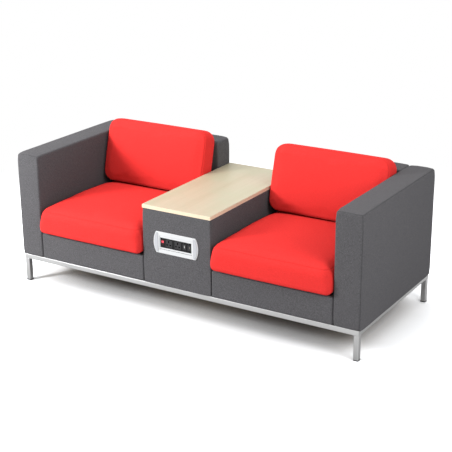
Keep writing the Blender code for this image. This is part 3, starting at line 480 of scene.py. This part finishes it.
webbing_cloth = webbing_finish()
for side in SIDES:
    low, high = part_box(f"{side}_seat_webbing")
    level = (low.z + high.z) / 2
    grid = bmesh.new()
    for run in range(2):
        pitch = (high[1 - run] - low[1 - run]) / STRAP_COUNT
        for index in range(STRAP_COUNT):
            middle = low[1 - run] + (index + 0.5) * pitch
            strap(grid, low, high, run, middle, level, (index + run) * math.pi)
    bmesh.ops.recalc_face_normals(grid, faces=grid.faces)
    woven = new_piece(f"{side}_woven_webbing", grid, webbing_cloth)
    thickness = woven.modifiers.new("strap thickness", "SOLIDIFY")
    thickness.thickness = STRAP_THICKNESS
    thickness.offset = 0
    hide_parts(f"{side}_seat_webbing")


# Arms and backs: grey melange wool cloth sewn into covers over foam, pulled down over the timber
# frames and turned in under them. Seams follow the upper and outer corners, and the outer hem of
# each arm hangs a little over the side rail.

GREY_YARN_DARK = (0.073, 0.071, 0.075, 1)
GREY_YARN_LIGHT = (0.166, 0.162, 0.170, 1)
GREY_CONTRAST = (0.36, 0.64)
GREY_SHEEN = 0.28
# How much darker the grey cloth is painted along its seams, as shade in their creases.
GREY_SEAM_PAINTED_SHADE = 0.30
GREY_MOTTLE = 0.16
WEAVE_PITCH = 0.0016
WEAVE_TONE = 0.12
FIBRE_RELIEF = 1.5
CLOTH_BUMP = 0.0004
CLOUD_SCALE = 150.0
COVER_EDGE = 0.0085
COVER_PULL = 0.0055
COVER_PULL_REACH = 0.024
LOWER_PULL = 0.6
BACK_PULLS = {"arm": COVER_PULL / 4, "console": COVER_PULL * 1.3}
FLUTTER_SCALE = 11
COVER_THICKNESS = 0.0018
COVER_STEP = 0.026
SEAM_WIDTH = 0.0021
SEAM_DEPTH = 0.0012
SEAM_PUFF = 0.0005
CROWN_POWER = 3.2
HEM_DROP = 0.0002
HEM_WIDTH = 0.02
ARM_SIDE_CROWN = 0.0085
ARM_CROWNS = {"-y": 0.0025, "+y": 0.003, "+z": 0.0015}
BACK_CROWNS = {"+y": 0.004, "+z": 0.0005}
ARM_PRESS = 0.0012
HANG_DROP = 0.008
HANG_GAP = 0.0003
HANG_PAST = 0.003
HANG_FADE = 0.05
FACES = {"-x": (0, -1), "+x": (0, 1), "-y": (1, -1), "+y": (1, 1), "-z": (2, -1), "+z": (2, 1)}
NEAR_EDGE = (0.0, 0.09, 0.19, 0.32, 0.50, 0.72, 1.0, 1.5)


def weave_group():
    """Plain weave on every face of a piece, and the lighter and darker fibres of melange yarn."""
    tree, given, result = new_group("melange_weave", {"Pitch": WEAVE_PITCH, "Fibre": 520.0},
                                    {"Weave": "NodeSocketFloat", "Fibres": "NodeSocketFloat",
                                     "Cloud": "NodeSocketFloat"})
    texture = add_node(tree, "ShaderNodeTexCoord")
    place = texture.outputs["Object"]
    turns = math_node(tree, "DIVIDE", math.pi, given["Pitch"])
    wave = sine_of(tree, scaled(tree, place, turns))
    crossed = add_node(tree, "ShaderNodeCombineXYZ", {
        face: math_node(tree, "MULTIPLY", wave[warp], wave[weft])
        for face, warp, weft in ("XYZ", "YZX", "ZXY")})
    facing = texture.outputs["Normal"]
    for _ in range(2):
        facing = vector_node(tree, "MULTIPLY", {0: facing, 1: facing})[0]
    weave = vector_node(tree, "DOT_PRODUCT", {0: crossed.outputs[0], 1: facing})["Value"]
    fibres = add_node(tree, "ShaderNodeTexNoise", {"Vector": place, "Scale": given["Fibre"], "Detail": 3.0,
                                                   "Roughness": 0.65})
    cloud = add_node(tree, "ShaderNodeTexNoise", {"Vector": place, "Scale": CLOUD_SCALE, "Detail": 4.0,
                                                  "Roughness": 0.7})
    tree.links.new(weave, result["Weave"])
    tree.links.new(fibres.outputs[0], result["Fibres"])
    tree.links.new(cloud.outputs[0], result["Cloud"])
    return tree


WEAVE = weave_group()


def cloth_finish(name, dark, light, contrast, sheen, seam_painted_shade, mottle, bounce=1.0):
    """Woven wool: mixed fibres, a plain weave in relief, soft sheen and painted shade along the seams.

    With bounce under 1 the cloth throws less of its colour on its surroundings than it shows.
    """
    made = bpy.data.materials.new(name)
    made.use_nodes = True
    tree = made.node_tree
    shader = tree.nodes["Principled BSDF"]
    cloth = add_node(tree, "ShaderNodeGroup", node_tree=WEAVE)
    fibres = ranged(tree, cloth.outputs["Fibres"], contrast)
    weave = math_node(tree, "MULTIPLY", cloth.outputs["Weave"], WEAVE_TONE)
    yarn = toned(tree, math_node(tree, "ADD", fibres, weave, clamp=True), dark, light)
    cloud = ranged(tree, cloth.outputs["Cloud"], (0.25, 0.75), (1 - mottle, 1 + mottle))
    scattered = add_node(tree, "ShaderNodeLightPath").outputs["Is Diffuse Ray"]
    cloud = math_node(tree, "MULTIPLY", cloud, ranged(tree, scattered, target=(1.0, bounce)))
    # Painted shade: the cloth's colour is darker along the seams, as if their creases fell in shade.
    seam = add_node(tree, "ShaderNodeAttribute", attribute_name="seam").outputs["Fac"]
    shade = math_node(tree, "MULTIPLY", cloud,
                      math_node(tree, "SUBTRACT", 1.0, math_node(tree, "MULTIPLY", seam, seam_painted_shade)))
    tree.links.new(scaled(tree, yarn, shade), shader.inputs["Base Color"])
    relief = math_node(tree, "ADD", cloth.outputs["Weave"],
                       math_node(tree, "MULTIPLY", cloth.outputs["Fibres"], FIBRE_RELIEF))
    rise = add_node(tree, "ShaderNodeBump", {"Strength": 0.6, "Distance": CLOTH_BUMP, "Height": relief})
    tree.links.new(rise.outputs[0], shader.inputs["Normal"])
    shader.inputs["Roughness"].default_value = 0.92
    shader.inputs["Specular IOR Level"].default_value = 0.1
    shader.inputs["Sheen Weight"].default_value = sheen
    shader.inputs["Sheen Roughness"].default_value = 0.6
    shader.inputs["Sheen Tint"].default_value = light
    return made


def smooth_step(value):
    value = max(0.0, min(1.0, value))
    return value * value * (3 - 2 * value)


def cut_lines(length, edge, step):
    """Places of a cloth net's lines along one side: close together at both ends, wide between."""
    near = [edge * share for share in NEAR_EDGE if edge * share < length / 2 - edge * 0.2]
    span = length - 2 * near[-1]
    count = max(1, round(span / step))
    middle = [near[-1] + span * index / count for index in range(1, count)]
    return [place - length / 2 for place in near + middle] + [length / 2 - place for place in reversed(near)]


def spread_point(lines, index):
    return Vector([lines[axis][index[axis]] for axis in range(3)])


def cloth_net(lines, keep=None):
    """The faces of a box as one net of quads, and the first place of each of its knots."""
    form = bmesh.new()
    form.verts.layers.float.new("seam")
    knots = {}
    spread = {}

    def knot(index):
        if index not in knots:
            knots[index] = form.verts.new(spread_point(lines, index))
            spread[knots[index]] = spread_point(lines, index)
        return knots[index]

    for axis in range(3):
        second, third = (axis + 1) % 3, (axis + 2) % 3
        for end in (0, len(lines[axis]) - 1):
            for i in range(len(lines[second]) - 1):
                for j in range(len(lines[third]) - 1):
                    ring = []
                    for di, dj in ((0, 0), (1, 0), (1, 1), (0, 1)):
                        index = [0, 0, 0]
                        index[axis], index[second], index[third] = end, i + di, j + dj
                        ring.append(tuple(index))
                    if keep is None or keep(ring):
                        form.faces.new([knot(index) for index in (ring if end else ring[::-1])])
    return form, spread


def on_round(first, second, radius):
    """Turns two distances from the faces of a square edge into those from the faces of a round one."""
    over = Vector((max(0.0, radius - first), max(0.0, radius - second)))
    if over.length == 0:
        return first, second
    share = max(over) / over.length
    return tuple(radius - part * share if part > 0 else value for part, value in zip(over, (first, second)))


def round_over(point, half, edge_radius, corner_radius):
    """Moves a point of a box on to the same box with round level edges and round corners."""
    inset = min(half.x - abs(point.x), half.y - abs(point.y))
    rounded, depth = on_round(inset, half.z - abs(point.z), edge_radius)
    point.z = math.copysign(half.z - depth, point.z)
    if rounded > inset:
        for axis in range(2):
            point[axis] *= (half[axis] - rounded) / (half[axis] - inset)
    corner = max(corner_radius - rounded, edge_radius / 4)
    gaps = on_round(half.x - rounded - abs(point.x), half.y - rounded - abs(point.y), corner)
    for axis in range(2):
        point[axis] = math.copysign(half[axis] - rounded - gaps[axis], point[axis])


def from_face(point, half, face):
    axis, sign = FACES[face]
    return half[axis] - sign * point[axis]


def seam_share(point, half, seams, width):
    """How near a knot of the net lies to a seam, from 0 to 1."""
    nearest = min((max(from_face(point, half, first), from_face(point, half, second))
                   for first, second in seams), default=1.0)
    return math.exp(-(nearest / width) ** 2)


def crown_share(point, half, face):
    """How far a knot shares in the fullness of its face, from 0 at its edges to 1 at the middle."""
    axis, _ = FACES[face]
    if from_face(point, half, face) > 1e-6:
        return 0.0
    others = [other for other in range(3) if other != axis]
    return math.prod(1 - abs(point[other] / half[other]) ** CROWN_POWER for other in others)


def upholster(low, high, edge, seams=(), crowns=None, step=COVER_STEP, keep=None, flutter=0.0006,
              pull=(0.0, 0.0)):
    """A sewn cover as a net of cloth: round edges, full faces, drawn-in seams and slight unevenness.

    The two pulls draw in the corners of its left and of its right end.
    """
    half, middle = (high - low) / 2, (high + low) / 2
    lines = [cut_lines(high[axis] - low[axis], edge, step) for axis in range(3)]
    kept = keep and (lambda ring: keep([spread_point(lines, index) for index in ring], half))
    form, spread = cloth_net(lines, kept)
    seam_layer = form.verts.layers.float["seam"]
    for knot, first in spread.items():
        point = first.copy()
        round_over(point, half, edge, edge)
        core = Vector([max(edge - half[axis], min(half[axis] - edge, point[axis])) for axis in range(3)])
        outward = (point - core).normalized() if (point - core).length > 1e-9 else Vector((0, 0, 1))
        seam = seam_share(first, half, seams, SEAM_WIDTH)
        puff = seam_share(first, half, seams, SEAM_WIDTH * 3) - seam
        rise = sum(full * crown_share(first, half, face) for face, full in (crowns or {}).items())
        uneven = flutter * noise.noise((point + middle) * FLUTTER_SCALE) if rise > 0 else 0
        knot.co = middle + point + outward * (rise + uneven - SEAM_DEPTH * seam + SEAM_PUFF * puff)
        apart = sum(half[axis] - abs(first[axis]) for axis in range(3))
        inward = Vector([-math.copysign(1, first[axis]) for axis in range(3)]).normalized()
        strength = pull[first.x > 0] * (1.0 if first.z > 0 else LOWER_PULL)
        knot.co += inward * strength * math.exp(-(apart / COVER_PULL_REACH) ** 2)
        knot[seam_layer] = seam
    return form


def turned_in(ring, half):
    """Leaves the underside of a cover open, apart from the cloth turned in along its edge."""
    if any(point.z > -half.z + 1e-6 for point in ring):
        return True
    return any(min(half.x - abs(point.x), half.y - abs(point.y)) < HEM_WIDTH for point in ring)


def open_cover(name, node, seams, crowns, pull, overhang=None, inner=None):
    """The cover of an arm or a back: one sewn cloth, open underneath inside its turned-in hem.

    The cloth hangs down past the overhang, and the inner face presses out by the inner distance.
    """
    low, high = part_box(node)
    low.z -= HEM_DROP
    if inner:
        (low if inner < 0 else high).x += inner
    form = upholster(low, high, COVER_EDGE, seams, crowns, keep=turned_in, pull=pull)
    for knot in form.verts:
        if overhang and knot.co.z < low.z + HANG_FADE:
            past = smooth_step((abs(knot.co.x) - overhang - HANG_GAP) / HANG_PAST)
            knot.co.z -= HANG_DROP * past * (1 - (knot.co.z - low.z) / HANG_FADE)
    cover = new_piece(name, form, grey_wool, smooth=180)
    cloth = cover.modifiers.new("cloth thickness", "SOLIDIFY")
    cloth.thickness = COVER_THICKNESS
    cloth.offset = -1
    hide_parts(node)


grey_wool = cloth_finish("grey_melange_wool", GREY_YARN_DARK, GREY_YARN_LIGHT, GREY_CONTRAST, GREY_SHEEN,
                         GREY_SEAM_PAINTED_SHADE, GREY_MOTTLE)
for side, sign in SIDES.items():
    outer = "+x" if sign > 0 else "-x"
    open_cover(f"{side}_arm_upholstery", f"{side}_arm_cover",
               [("-y", "+z"), ("-y", outer), (outer, "+z"), ("+y", "+z"), ("+y", outer)],
               {outer: ARM_SIDE_CROWN, **ARM_CROWNS}, (COVER_PULL, COVER_PULL),
               overhang=abs(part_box(f"{side}_side_rail")[sign > 0].x), inner=-sign * ARM_PRESS)
    pulls = (BACK_PULLS["arm"], BACK_PULLS["console"])
    open_cover(f"{side}_back_upholstery", f"{side}_back_cover", [("+y", "+z"), ("-y", "+z")],
               BACK_CROWNS, pulls if sign < 0 else pulls[::-1])


# Seat fronts: low grey fascias of board, wadding and the same wool, fixed to the front of each
# seat frame under its cushion. The wool runs back over the front bar of the frame, where it is paint
# on the softwood.

FASCIA_EDGE = 0.0105
FASCIA_CROWN = 0.0012
FLAT_STEP = 0.03
WRAP_DEPTH = 0.06
WRAP_GREY = (0.115, 0.112, 0.118, 1)


def wrapped_bar(name):
    """Softwood whose front bar is wrapped in the grey wool, as seen under the cushion's corners."""
    made = pine_along["y"].copy()
    made.name = f"{name}_wrapped_pine"
    tree = made.node_tree
    shader = tree.nodes["Principled BSDF"]
    texture = add_node(tree, "ShaderNodeTexCoord").outputs
    back = parts_of(tree, texture["Object"])["Y"]
    facing = parts_of(tree, texture["Normal"])["Z"]
    near = math_node(tree, "LESS_THAN", back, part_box(name)[0].y + WRAP_DEPTH)
    wrapped = math_node(tree, "MULTIPLY", near, math_node(tree, "GREATER_THAN", facing, 0.5))
    wood = shader.inputs["Base Color"].links[0].from_socket
    tree.links.new(toned(tree, wrapped, wood, WRAP_GREY), shader.inputs["Base Color"])
    return made


for side in SIDES:
    low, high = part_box(f"{side}_seat_fascia")
    form = upholster(low, high, FASCIA_EDGE, [("-y", "+z")], {"-y": FASCIA_CROWN}, step=FLAT_STEP,
                     flutter=0.0004)
    fascia = new_piece(f"{side}_seat_front", form, grey_wool, smooth=180)
    paint_node(f"{side}_seat_frame", wrapped_bar(f"{side}_seat_frame"))
    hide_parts(f"{side}_seat_fascia")


# Seat cushions: foam blocks in bright red wool covers, boxed, with a seam round the upper and the
# lower edge. They lie loose on the webbing and hang over the fascias a little.

RED_YARN_DARK = (0.92, 0.033, 0.030, 1)
RED_YARN_LIGHT = (1.0, 0.060, 0.055, 1)
RED_CONTRAST = (0.30, 0.70)
RED_SHEEN = 0.05
# How much darker the red cloth is painted along its seams, as shade in their creases.
RED_SEAM_PAINTED_SHADE = 0.16
RED_MOTTLE = 0.05
RED_BOUNCE = 0.4
CUSHION_SIDE = 0.141
CUSHION_DROP = 0.009
CUSHION_CROWN = 0.030
CUSHION_EDGE = 0.048
CUSHION_FOOT = 0.025
CUSHION_CORNERS = (0.056, 0.028)
CUSHION_BOW = 0.003
CUSHION_NET_EDGE = 0.024
CUSHION_STEP = 0.011
CUSHION_SEAMS = [(face, end) for face in ("-x", "+x", "-y", "+y") for end in ("+z", "-z")]
CUSHION_SEAM_DEPTH = 0.0022
PRESSED_FROM = 0.177
PRESS_BLEND = 0.100
SEAT_RISE = 0.010
SLACK = 0.006
FILLING = {"quality": 6, "mass": 0.3, "tension_stiffness": 18, "compression_stiffness": 18,
           "shear_stiffness": 6, "bending_stiffness": 1.5, "use_pressure": True,
           "uniform_pressure_force": 4.0}
PLUMP_FRAMES = 20
PLUMP_CAP = 0.006


def cushion_form(size, edges, corners, crown, pressed=None, drop=0.0, shrink=0.0):
    """A boxed cushion as a net of cloth: full faces, drawn-in sides and soft round edges.

    Behind the pressed line its top lies flat under the back cushion, and its front sinks by the drop.
    """
    half = Vector(size) / 2
    lines = [cut_lines(length, CUSHION_NET_EDGE, CUSHION_STEP) for length in size]
    form, spread = cloth_net(lines)
    seam_layer = form.verts.layers.float["seam"]
    for knot, first in spread.items():
        point = first.copy()
        corner = corners[1] + (corners[0] - corners[1]) * smooth_step(first.z / half.z + 0.5)
        round_over(point, half, edges[0] if first.z > 0 else edges[1], corner)
        across, along, up = (point[axis] / half[axis] for axis in range(3))
        rise = crown[0] if up > 0 else crown[1]
        if pressed is not None and up > 0:
            rise *= smooth_step((pressed - point.y) / PRESS_BLEND)
        point.z += up * rise * (1 - across ** 4) * (1 - along ** 2) - drop * (1 + along) * (1 + up) / 4
        point.x *= 1 - CUSHION_BOW * (up ** 2 + along ** 2) / half.x
        point.y *= 1 - CUSHION_BOW * (up ** 2 + across ** 2) / half.y
        knot.co = point
        knot[seam_layer] = seam_share(first, half, CUSHION_SEAMS, SEAM_WIDTH)
    reach = [max(abs(knot.co[axis]) for knot in form.verts) for axis in range(2)]
    bmesh.ops.scale(form, vec=(half.x / reach[0], half.y / reach[1], 1), verts=form.verts)
    form.normal_update()
    for knot in form.verts:
        knot.co -= knot.normal * shrink
    return form


def plump_up(piece, filled):
    """Blows the slack cover up with cloth simulation, and keeps it near its filled shape."""
    cloth = piece.modifiers.new("filling", "CLOTH")
    for key, value in FILLING.items():
        setattr(cloth.settings, key, value)
    cloth.settings.effector_weights.gravity = 0
    cloth.collision_settings.use_collision = False
    scene = bpy.context.scene
    for count in range(1, PLUMP_FRAMES + 1):
        scene.frame_set(count)
    swollen = piece.evaluated_get(bpy.context.evaluated_depsgraph_get()).to_mesh()
    blown = [point.co.copy() for point in swollen.vertices]
    piece.evaluated_get(bpy.context.evaluated_depsgraph_get()).to_mesh_clear()
    piece.modifiers.remove(cloth)
    scene.frame_set(1)
    for index, (place, full) in enumerate(zip(blown, filled)):
        move = place - full
        if move.length > PLUMP_CAP:
            move *= PLUMP_CAP / move.length
        blown[index] = full + move
    for axis in range(3):
        low, high = (end(place[axis] for place in blown) for end in (min, max))
        full_low, full_high = (end(place[axis] for place in filled) for end in (min, max))
        for place in blown:
            place[axis] = full_low + (place[axis] - low) * (full_high - full_low) / (high - low)
    for point, place in zip(piece.data.vertices, blown):
        point.co = place


def finish_cushion(piece, matrix, allowed):
    """Draws the seams in, sets the cushion in its place and keeps it clear of its neighbours."""
    mesh = piece.data
    normals = [Vector(item.vector) for item in mesh.vertex_normals]
    seams = mesh.attributes["seam"].data
    for point, normal, seam in zip(mesh.vertices, normals, seams):
        point.co -= normal * CUSHION_SEAM_DEPTH * seam.value
        point.co = matrix @ point.co
        allowed(point.co)
    finer = piece.modifiers.new("finer cloth", "SUBSURF")
    finer.levels = finer.render_levels = 1


def cushion(name, node, body, arguments, matrix, allowed):
    """A loose cushion: its slack cover is blown up to the filled form, then set in its place."""
    filled_form = cushion_form(**arguments)
    filled = [knot.co.copy() for knot in filled_form.verts]
    filled_form.free()
    form = cushion_form(**arguments, shrink=SLACK)
    mesh = bpy.data.meshes.new(name)
    form.to_mesh(mesh)
    form.free()
    piece = bpy.data.objects.new(name, mesh)
    bpy.context.scene.collection.objects.link(piece)
    mesh.materials.append(red_wool)
    mesh.shade_smooth()
    plump_up(piece, filled)
    finish_cushion(piece, matrix, allowed)
    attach(piece, body)
    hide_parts(node)


red_wool = cloth_finish("red_wool", RED_YARN_DARK, RED_YARN_LIGHT, RED_CONTRAST, RED_SHEEN,
                        RED_SEAM_PAINTED_SHADE, RED_MOTTLE, bounce=RED_BOUNCE)
for side in SIDES:
    low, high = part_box(f"{side}_seat_cushion")
    middle = (low + high) / 2
    size = (high.x - low.x, high.y - low.y, CUSHION_SIDE)

    def keep_seat(point, low=low, high=high):
        point.x = max(low.x, min(high.x, point.x))
        point.y = max(low.y, min(high.y, point.y))
        point.z = max(low.z, min(high.z + SEAT_RISE, point.z))

    cushion(f"{side}_seat_cushion_cover", f"{side}_seat_cushion", f"{side}_seat_cushion",
            {"size": size, "edges": (CUSHION_EDGE, CUSHION_FOOT), "corners": CUSHION_CORNERS,
             "crown": (CUSHION_CROWN, 0), "pressed": PRESSED_FROM - middle.y, "drop": CUSHION_DROP},
            Matrix.Translation((middle.x, middle.y, low.z + CUSHION_SIDE / 2)), keep_seat)


# Back cushions: softer blocks in the same red wool, which stand on the seat cushions and lean back
# on the upper edge of the back panels.

BACK_HEIGHT = 0.335
BACK_THICKNESS = 0.108
BACK_CROWN = 0.020
BACK_REAR_CROWN = 0.006
BACK_EDGE = 0.015
BACK_CORNERS = (0.058, 0.058)
BACK_LEAN = math.radians(14.5)
PANEL_GAP = 0.0003

for side in SIDES:
    low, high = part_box(f"{side}_back_cushion")
    panel_low, panel_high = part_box(f"{side}_back_cover")

    def keep_back(point, low=low, high=high, wall=panel_low.y, ledge=panel_high.z):
        point.x = max(low.x, min(high.x, point.x))
        point.z = max(low.z, point.z)
        if point.z < ledge:
            point.y = min(point.y, wall - PANEL_GAP)

    shape = {"size": (high.x - low.x, BACK_HEIGHT, BACK_THICKNESS), "edges": (BACK_EDGE, BACK_EDGE),
             "corners": BACK_CORNERS, "crown": (BACK_CROWN, BACK_REAR_CROWN)}
    centre = Vector(((low.x + high.x) / 2, 0, 0))
    lean = Matrix.Rotation(math.pi / 2 - BACK_LEAN, 4, "X")
    probe = cushion_form(**shape)
    leaning = [lean @ knot.co for knot in probe.verts]
    probe.free()
    for axis in (1, 2):
        reach = (min(point[axis] for point in leaning) + max(point[axis] for point in leaning)) / 2
        centre[axis] = (low[axis] + high[axis]) / 2 - reach
    cushion(f"{side}_back_cushion_cover", f"{side}_back_cushion", f"{side}_back_cushion", shape,
            Matrix.Translation(centre) @ lean, keep_back)


# Console: padded grey panels round a board box, and an 18 mm maple top with a banded edge that is
# painted lighter as a highlight, held down by steel angles inside.

MAPLE_LIGHT = (0.66, 0.575, 0.42, 1)
MAPLE_DARK = (0.56, 0.475, 0.315, 1)
MAPLE_GREENISH = (0.59, 0.565, 0.39, 1)
MAPLE_BAND_AND_HIGHLIGHT = (0.98, 0.80, 0.58, 1)
MAPLE_GRAIN = (1, 0.045, 1)
MAPLE_RINGS = 17.0
MAPLE_CONTRAST = (0.32, 0.75)
PATCH_SCALE = 5.0
PATCH_REACH = (0.4, 0.6)
PATCH_SHARE = 0.7
CONSOLE_EDGE = 0.0065
PANEL_PULL = 0.003
PANEL_CROWN = 0.0008
PANEL_CORE = 0.0004
CUTOUT_MARGIN = Vector((0.0005, 0.05, 0.0005))


def cut_through(piece, low, high):
    """Cuts a box-shaped hole in a piece."""
    form = bmesh.new()
    bmesh.ops.create_cube(form, size=1, matrix=Matrix.Translation((low + high) / 2)
                          @ Matrix.Diagonal((*(high - low), 1)))
    mesh = bpy.data.meshes.new("hole")
    form.to_mesh(mesh)
    form.free()
    tool = bpy.data.objects.new("hole", mesh)
    bpy.context.scene.collection.objects.link(tool)
    carve = piece.modifiers.new("hole", "BOOLEAN")
    carve.operation = "DIFFERENCE"
    carve.object = tool
    bpy.context.view_layer.update()
    cut = bpy.data.meshes.new_from_object(piece.evaluated_get(bpy.context.evaluated_depsgraph_get()))
    piece.modifiers.remove(carve)
    piece.data = cut
    bpy.data.objects.remove(tool, do_unlink=True)


def maple_finish():
    """Maple laminate with slow greenish patches, and a plainer banding with a painted highlight on upright
    faces.
    """
    made = wood_finish("maple_laminate", MAPLE_LIGHT, MAPLE_DARK, MAPLE_GRAIN, MAPLE_RINGS, 0.42, 0.00004,
                       MAPLE_CONTRAST)
    tree = made.node_tree
    shader = tree.nodes["Principled BSDF"]
    figure = shader.inputs["Base Color"].links[0].from_socket
    texture = add_node(tree, "ShaderNodeTexCoord").outputs
    patches = add_node(tree, "ShaderNodeTexNoise", {"Vector": texture["Object"], "Scale": PATCH_SCALE,
                                                    "Detail": 3.0})
    greenish = ranged(tree, patches.outputs[0], PATCH_REACH, (0.0, PATCH_SHARE))
    patched = toned(tree, greenish, figure, MAPLE_GREENISH)
    # Painted highlight: the upright faces are a plainer banding, painted lighter than the top as if lit.
    facing = parts_of(tree, texture["Normal"])["Z"]
    on_edge = math_node(tree, "LESS_THAN", math_node(tree, "ABSOLUTE", facing), 0.5)
    tree.links.new(toned(tree, on_edge, patched, MAPLE_BAND_AND_HIGHLIGHT), shader.inputs["Base Color"])
    return made


for end, crown_face in (("front", "-y"), ("rear", "+y"), ("left", "-x"), ("right", "+x")):
    low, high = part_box(f"console_{end}_pad")
    edge = min(CONSOLE_EDGE, (high - low)[FACES[crown_face][0]] / 2 - PANEL_CORE)
    form = upholster(low, high, edge, crowns={crown_face: PANEL_CROWN}, step=FLAT_STEP, flutter=0.0003,
                     pull=(PANEL_PULL, PANEL_PULL))
    panel = new_piece(f"console_{end}_panel", form, grey_wool, smooth=180)
    if end == "front":
        shell_low, shell_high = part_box("power_housing")
        cut_through(panel, shell_low - CUTOUT_MARGIN, shell_high + CUTOUT_MARGIN)
    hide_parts(f"console_{end}_pad")
paint_node("console_top", maple_finish())


# Power unit: a white bezel with bowed ends and grey end caps, and in it a carrier that flips over
# to hide a black plate with two sockets, two charging ports and a lit rocker switch.

UNIT_WHITE = (0.79, 0.80, 0.81, 1)
CAP_GREY = (0.58, 0.59, 0.62, 1)
UNIT_BLACK = (0.012, 0.012, 0.013, 1)
SOCKET_BLACK = (0.052, 0.052, 0.055, 1)
ROCKER_RED = (0.90, 0.045, 0.07, 1)
TONGUE_GREY = (0.16, 0.16, 0.17, 1)
CONTACT_GOLD = (0.80, 0.60, 0.28, 1)
SPARK_GRAIN = 1400.0
SATIN_GRAIN = 1600.0
TONGUE_WIDTH = 0.0032
TONGUE_HEIGHT = 0.0112
TONGUE_BACK = 0.0045
TONGUE_INSET = 0.0003
CONTACT_COUNT = 4
CONTACT_WIDTH = 0.0012
CONTACT_PITCH = TONGUE_HEIGHT / 4.4
CONTACT_INSET = 0.0006
LIT_EDGE = 0.0006
LAMP_GLOW = (1.0, 0.12, 0.18, 1)
LAMP_STRENGTH = 0.35
UNLIT_RED = (0.05, 0.006, 0.008, 1)
SLOT_DEPTH = 0.0009
SLOT_PAINTED_SHADE = (0.002, 0.002, 0.002, 1)
SHADED_RIM_WIDTH = 0.0006
SLOTS = ((0, 0.009, 0.0052, 0.0092), (-0.009, -0.007, 0.0078, 0.0052), (0.009, -0.007, 0.0078, 0.0052))


def lit_rocker():
    """The rocker's upper half is a clear red lens with a lamp behind it, and the lower half is dark."""
    tree = red_plastic.node_tree
    shader = tree.nodes["Principled BSDF"]
    low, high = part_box("rocker_switch")
    middle = (low.z + high.z) / 2
    upper = ranged(tree, parts_of(tree, piece_place(tree))["Z"], (middle - LIT_EDGE, middle + LIT_EDGE))
    red = shader.inputs["Base Color"].links[0].from_socket
    tree.links.new(toned(tree, upper, UNLIT_RED, red), shader.inputs["Base Color"])
    tree.links.new(toned(tree, upper, (0, 0, 0, 1), LAMP_GLOW), shader.inputs["Emission Color"])
    shader.inputs["Emission Strength"].default_value = LAMP_STRENGTH


def near_to(tree, value, centre, reach):
    """One where a number lies within a reach of a centre, and nought elsewhere."""
    made = add_node(tree, "ShaderNodeMath", {0: value, 1: centre, 2: reach}, operation="COMPARE")
    return made.outputs[0]


def paint_slot_shade():
    """Painted shade: black on the plastic behind the faces of the sockets and ports, and in a rim round each
    slot.
    """
    tree = socket_plastic.node_tree
    shader = tree.nodes["Principled BSDF"]
    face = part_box("left_socket")[0].y
    place = parts_of(tree, piece_place(tree))
    # Painted shade: black where the hollows behind the face would lie in shade, and in a thin rim round each
    # slot.
    painted_shade = ranged(tree, place["Y"], (face + SLOT_DEPTH / 2, face + SLOT_DEPTH * 1.5))
    for side in SIDES:
        low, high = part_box(f"{side}_socket")
        middle = (low + high) / 2
        for shift, level, width, height in SLOTS:
            beside = near_to(tree, place["X"], middle.x + shift, width / 2 + SHADED_RIM_WIDTH)
            above = near_to(tree, place["Z"], middle.z + level, height / 2 + SHADED_RIM_WIDTH)
            painted_shade = math_node(tree, "MAXIMUM", painted_shade, math_node(tree, "MULTIPLY", beside, above))
    plain = shader.inputs["Base Color"].links[0].from_socket
    tree.links.new(toned(tree, painted_shade, plain, SLOT_PAINTED_SHADE), shader.inputs["Base Color"])
    smooth = shader.inputs["Roughness"].links[0].from_socket
    tree.links.new(math_node(tree, "MAXIMUM", smooth, painted_shade), shader.inputs["Roughness"])


def port_tongue(side, finish, metal):
    """The plastic tongue in a charging port, with its row of contacts on one face."""
    low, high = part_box(f"{side}_port")
    x, z = (low.x + high.x) / 2, (low.z + high.z) / 2
    front, back = low.y + TONGUE_INSET, low.y + TONGUE_BACK
    for name, width, height, first, last, material, count in (
            ("tongue", TONGUE_WIDTH, TONGUE_HEIGHT, front, back, finish, 1),
            ("contacts", CONTACT_WIDTH / 2, CONTACT_WIDTH, front + CONTACT_INSET, back, metal,
             CONTACT_COUNT)):
        form = bmesh.new()
        for index in range(count):
            level = z + (index - (count - 1) / 2) * CONTACT_PITCH
            shift = x + (TONGUE_WIDTH + width) / 2 if count > 1 else x
            size = Matrix.Diagonal((width, last - first, height, 1))
            place = Matrix.Translation((shift, (first + last) / 2, level))
            bmesh.ops.create_cube(form, size=1, matrix=place @ size)
        bmesh.ops.bevel(form, geom=form.edges[:], offset=width / 5, segments=2, affect="EDGES")
        new_piece(f"{side}_port_{name}", form, material,
                  "flip_unit", smooth=35)


white_plastic = plain_finish("white_plastic", UNIT_WHITE, 0.3, grain=SATIN_GRAIN, spread=0.02)
pale_plastic = plain_finish("pale_grey_plastic", CAP_GREY, 0.42, grain=SATIN_GRAIN, spread=0.03)
black_plastic = plain_finish("black_plastic", UNIT_BLACK, 0.42, grain=SPARK_GRAIN, spread=0.15,
                             Specular_IOR_Level=0.2)
socket_plastic = plain_finish("socket_black_plastic", SOCKET_BLACK, 0.42, grain=SPARK_GRAIN, spread=0.15,
                              Specular_IOR_Level=0.15)
red_plastic = plain_finish("red_plastic", ROCKER_RED, 0.2, grain=SPARK_GRAIN, spread=0.05)
for node, finish in (("power_bezel", white_plastic), ("power_left_cap", pale_plastic),
                     ("power_right_cap", pale_plastic), ("power_housing", black_plastic),
                     ("flip_carrier", white_plastic), ("socket_plate", black_plastic),
                     ("left_socket", socket_plastic), ("right_socket", socket_plastic),
                     ("left_port", socket_plastic), ("right_port", socket_plastic),
                     ("rocker_switch", red_plastic), ("left_flip_pin", zinc_plate),
                     ("right_flip_pin", zinc_plate)):
    paint_node(node, finish)
lit_rocker()
paint_slot_shade()
grey_plastic = plain_finish("tongue_grey_plastic", TONGUE_GREY, 0.4, grain=SPARK_GRAIN, spread=0.05)
gold_contacts = plain_finish("gold_contacts", CONTACT_GOLD, 0.25, metallic=1.0, grain=SPARK_GRAIN)
port_tongue("left", white_plastic, gold_contacts)
port_tongue("right", grey_plastic, gold_contacts)
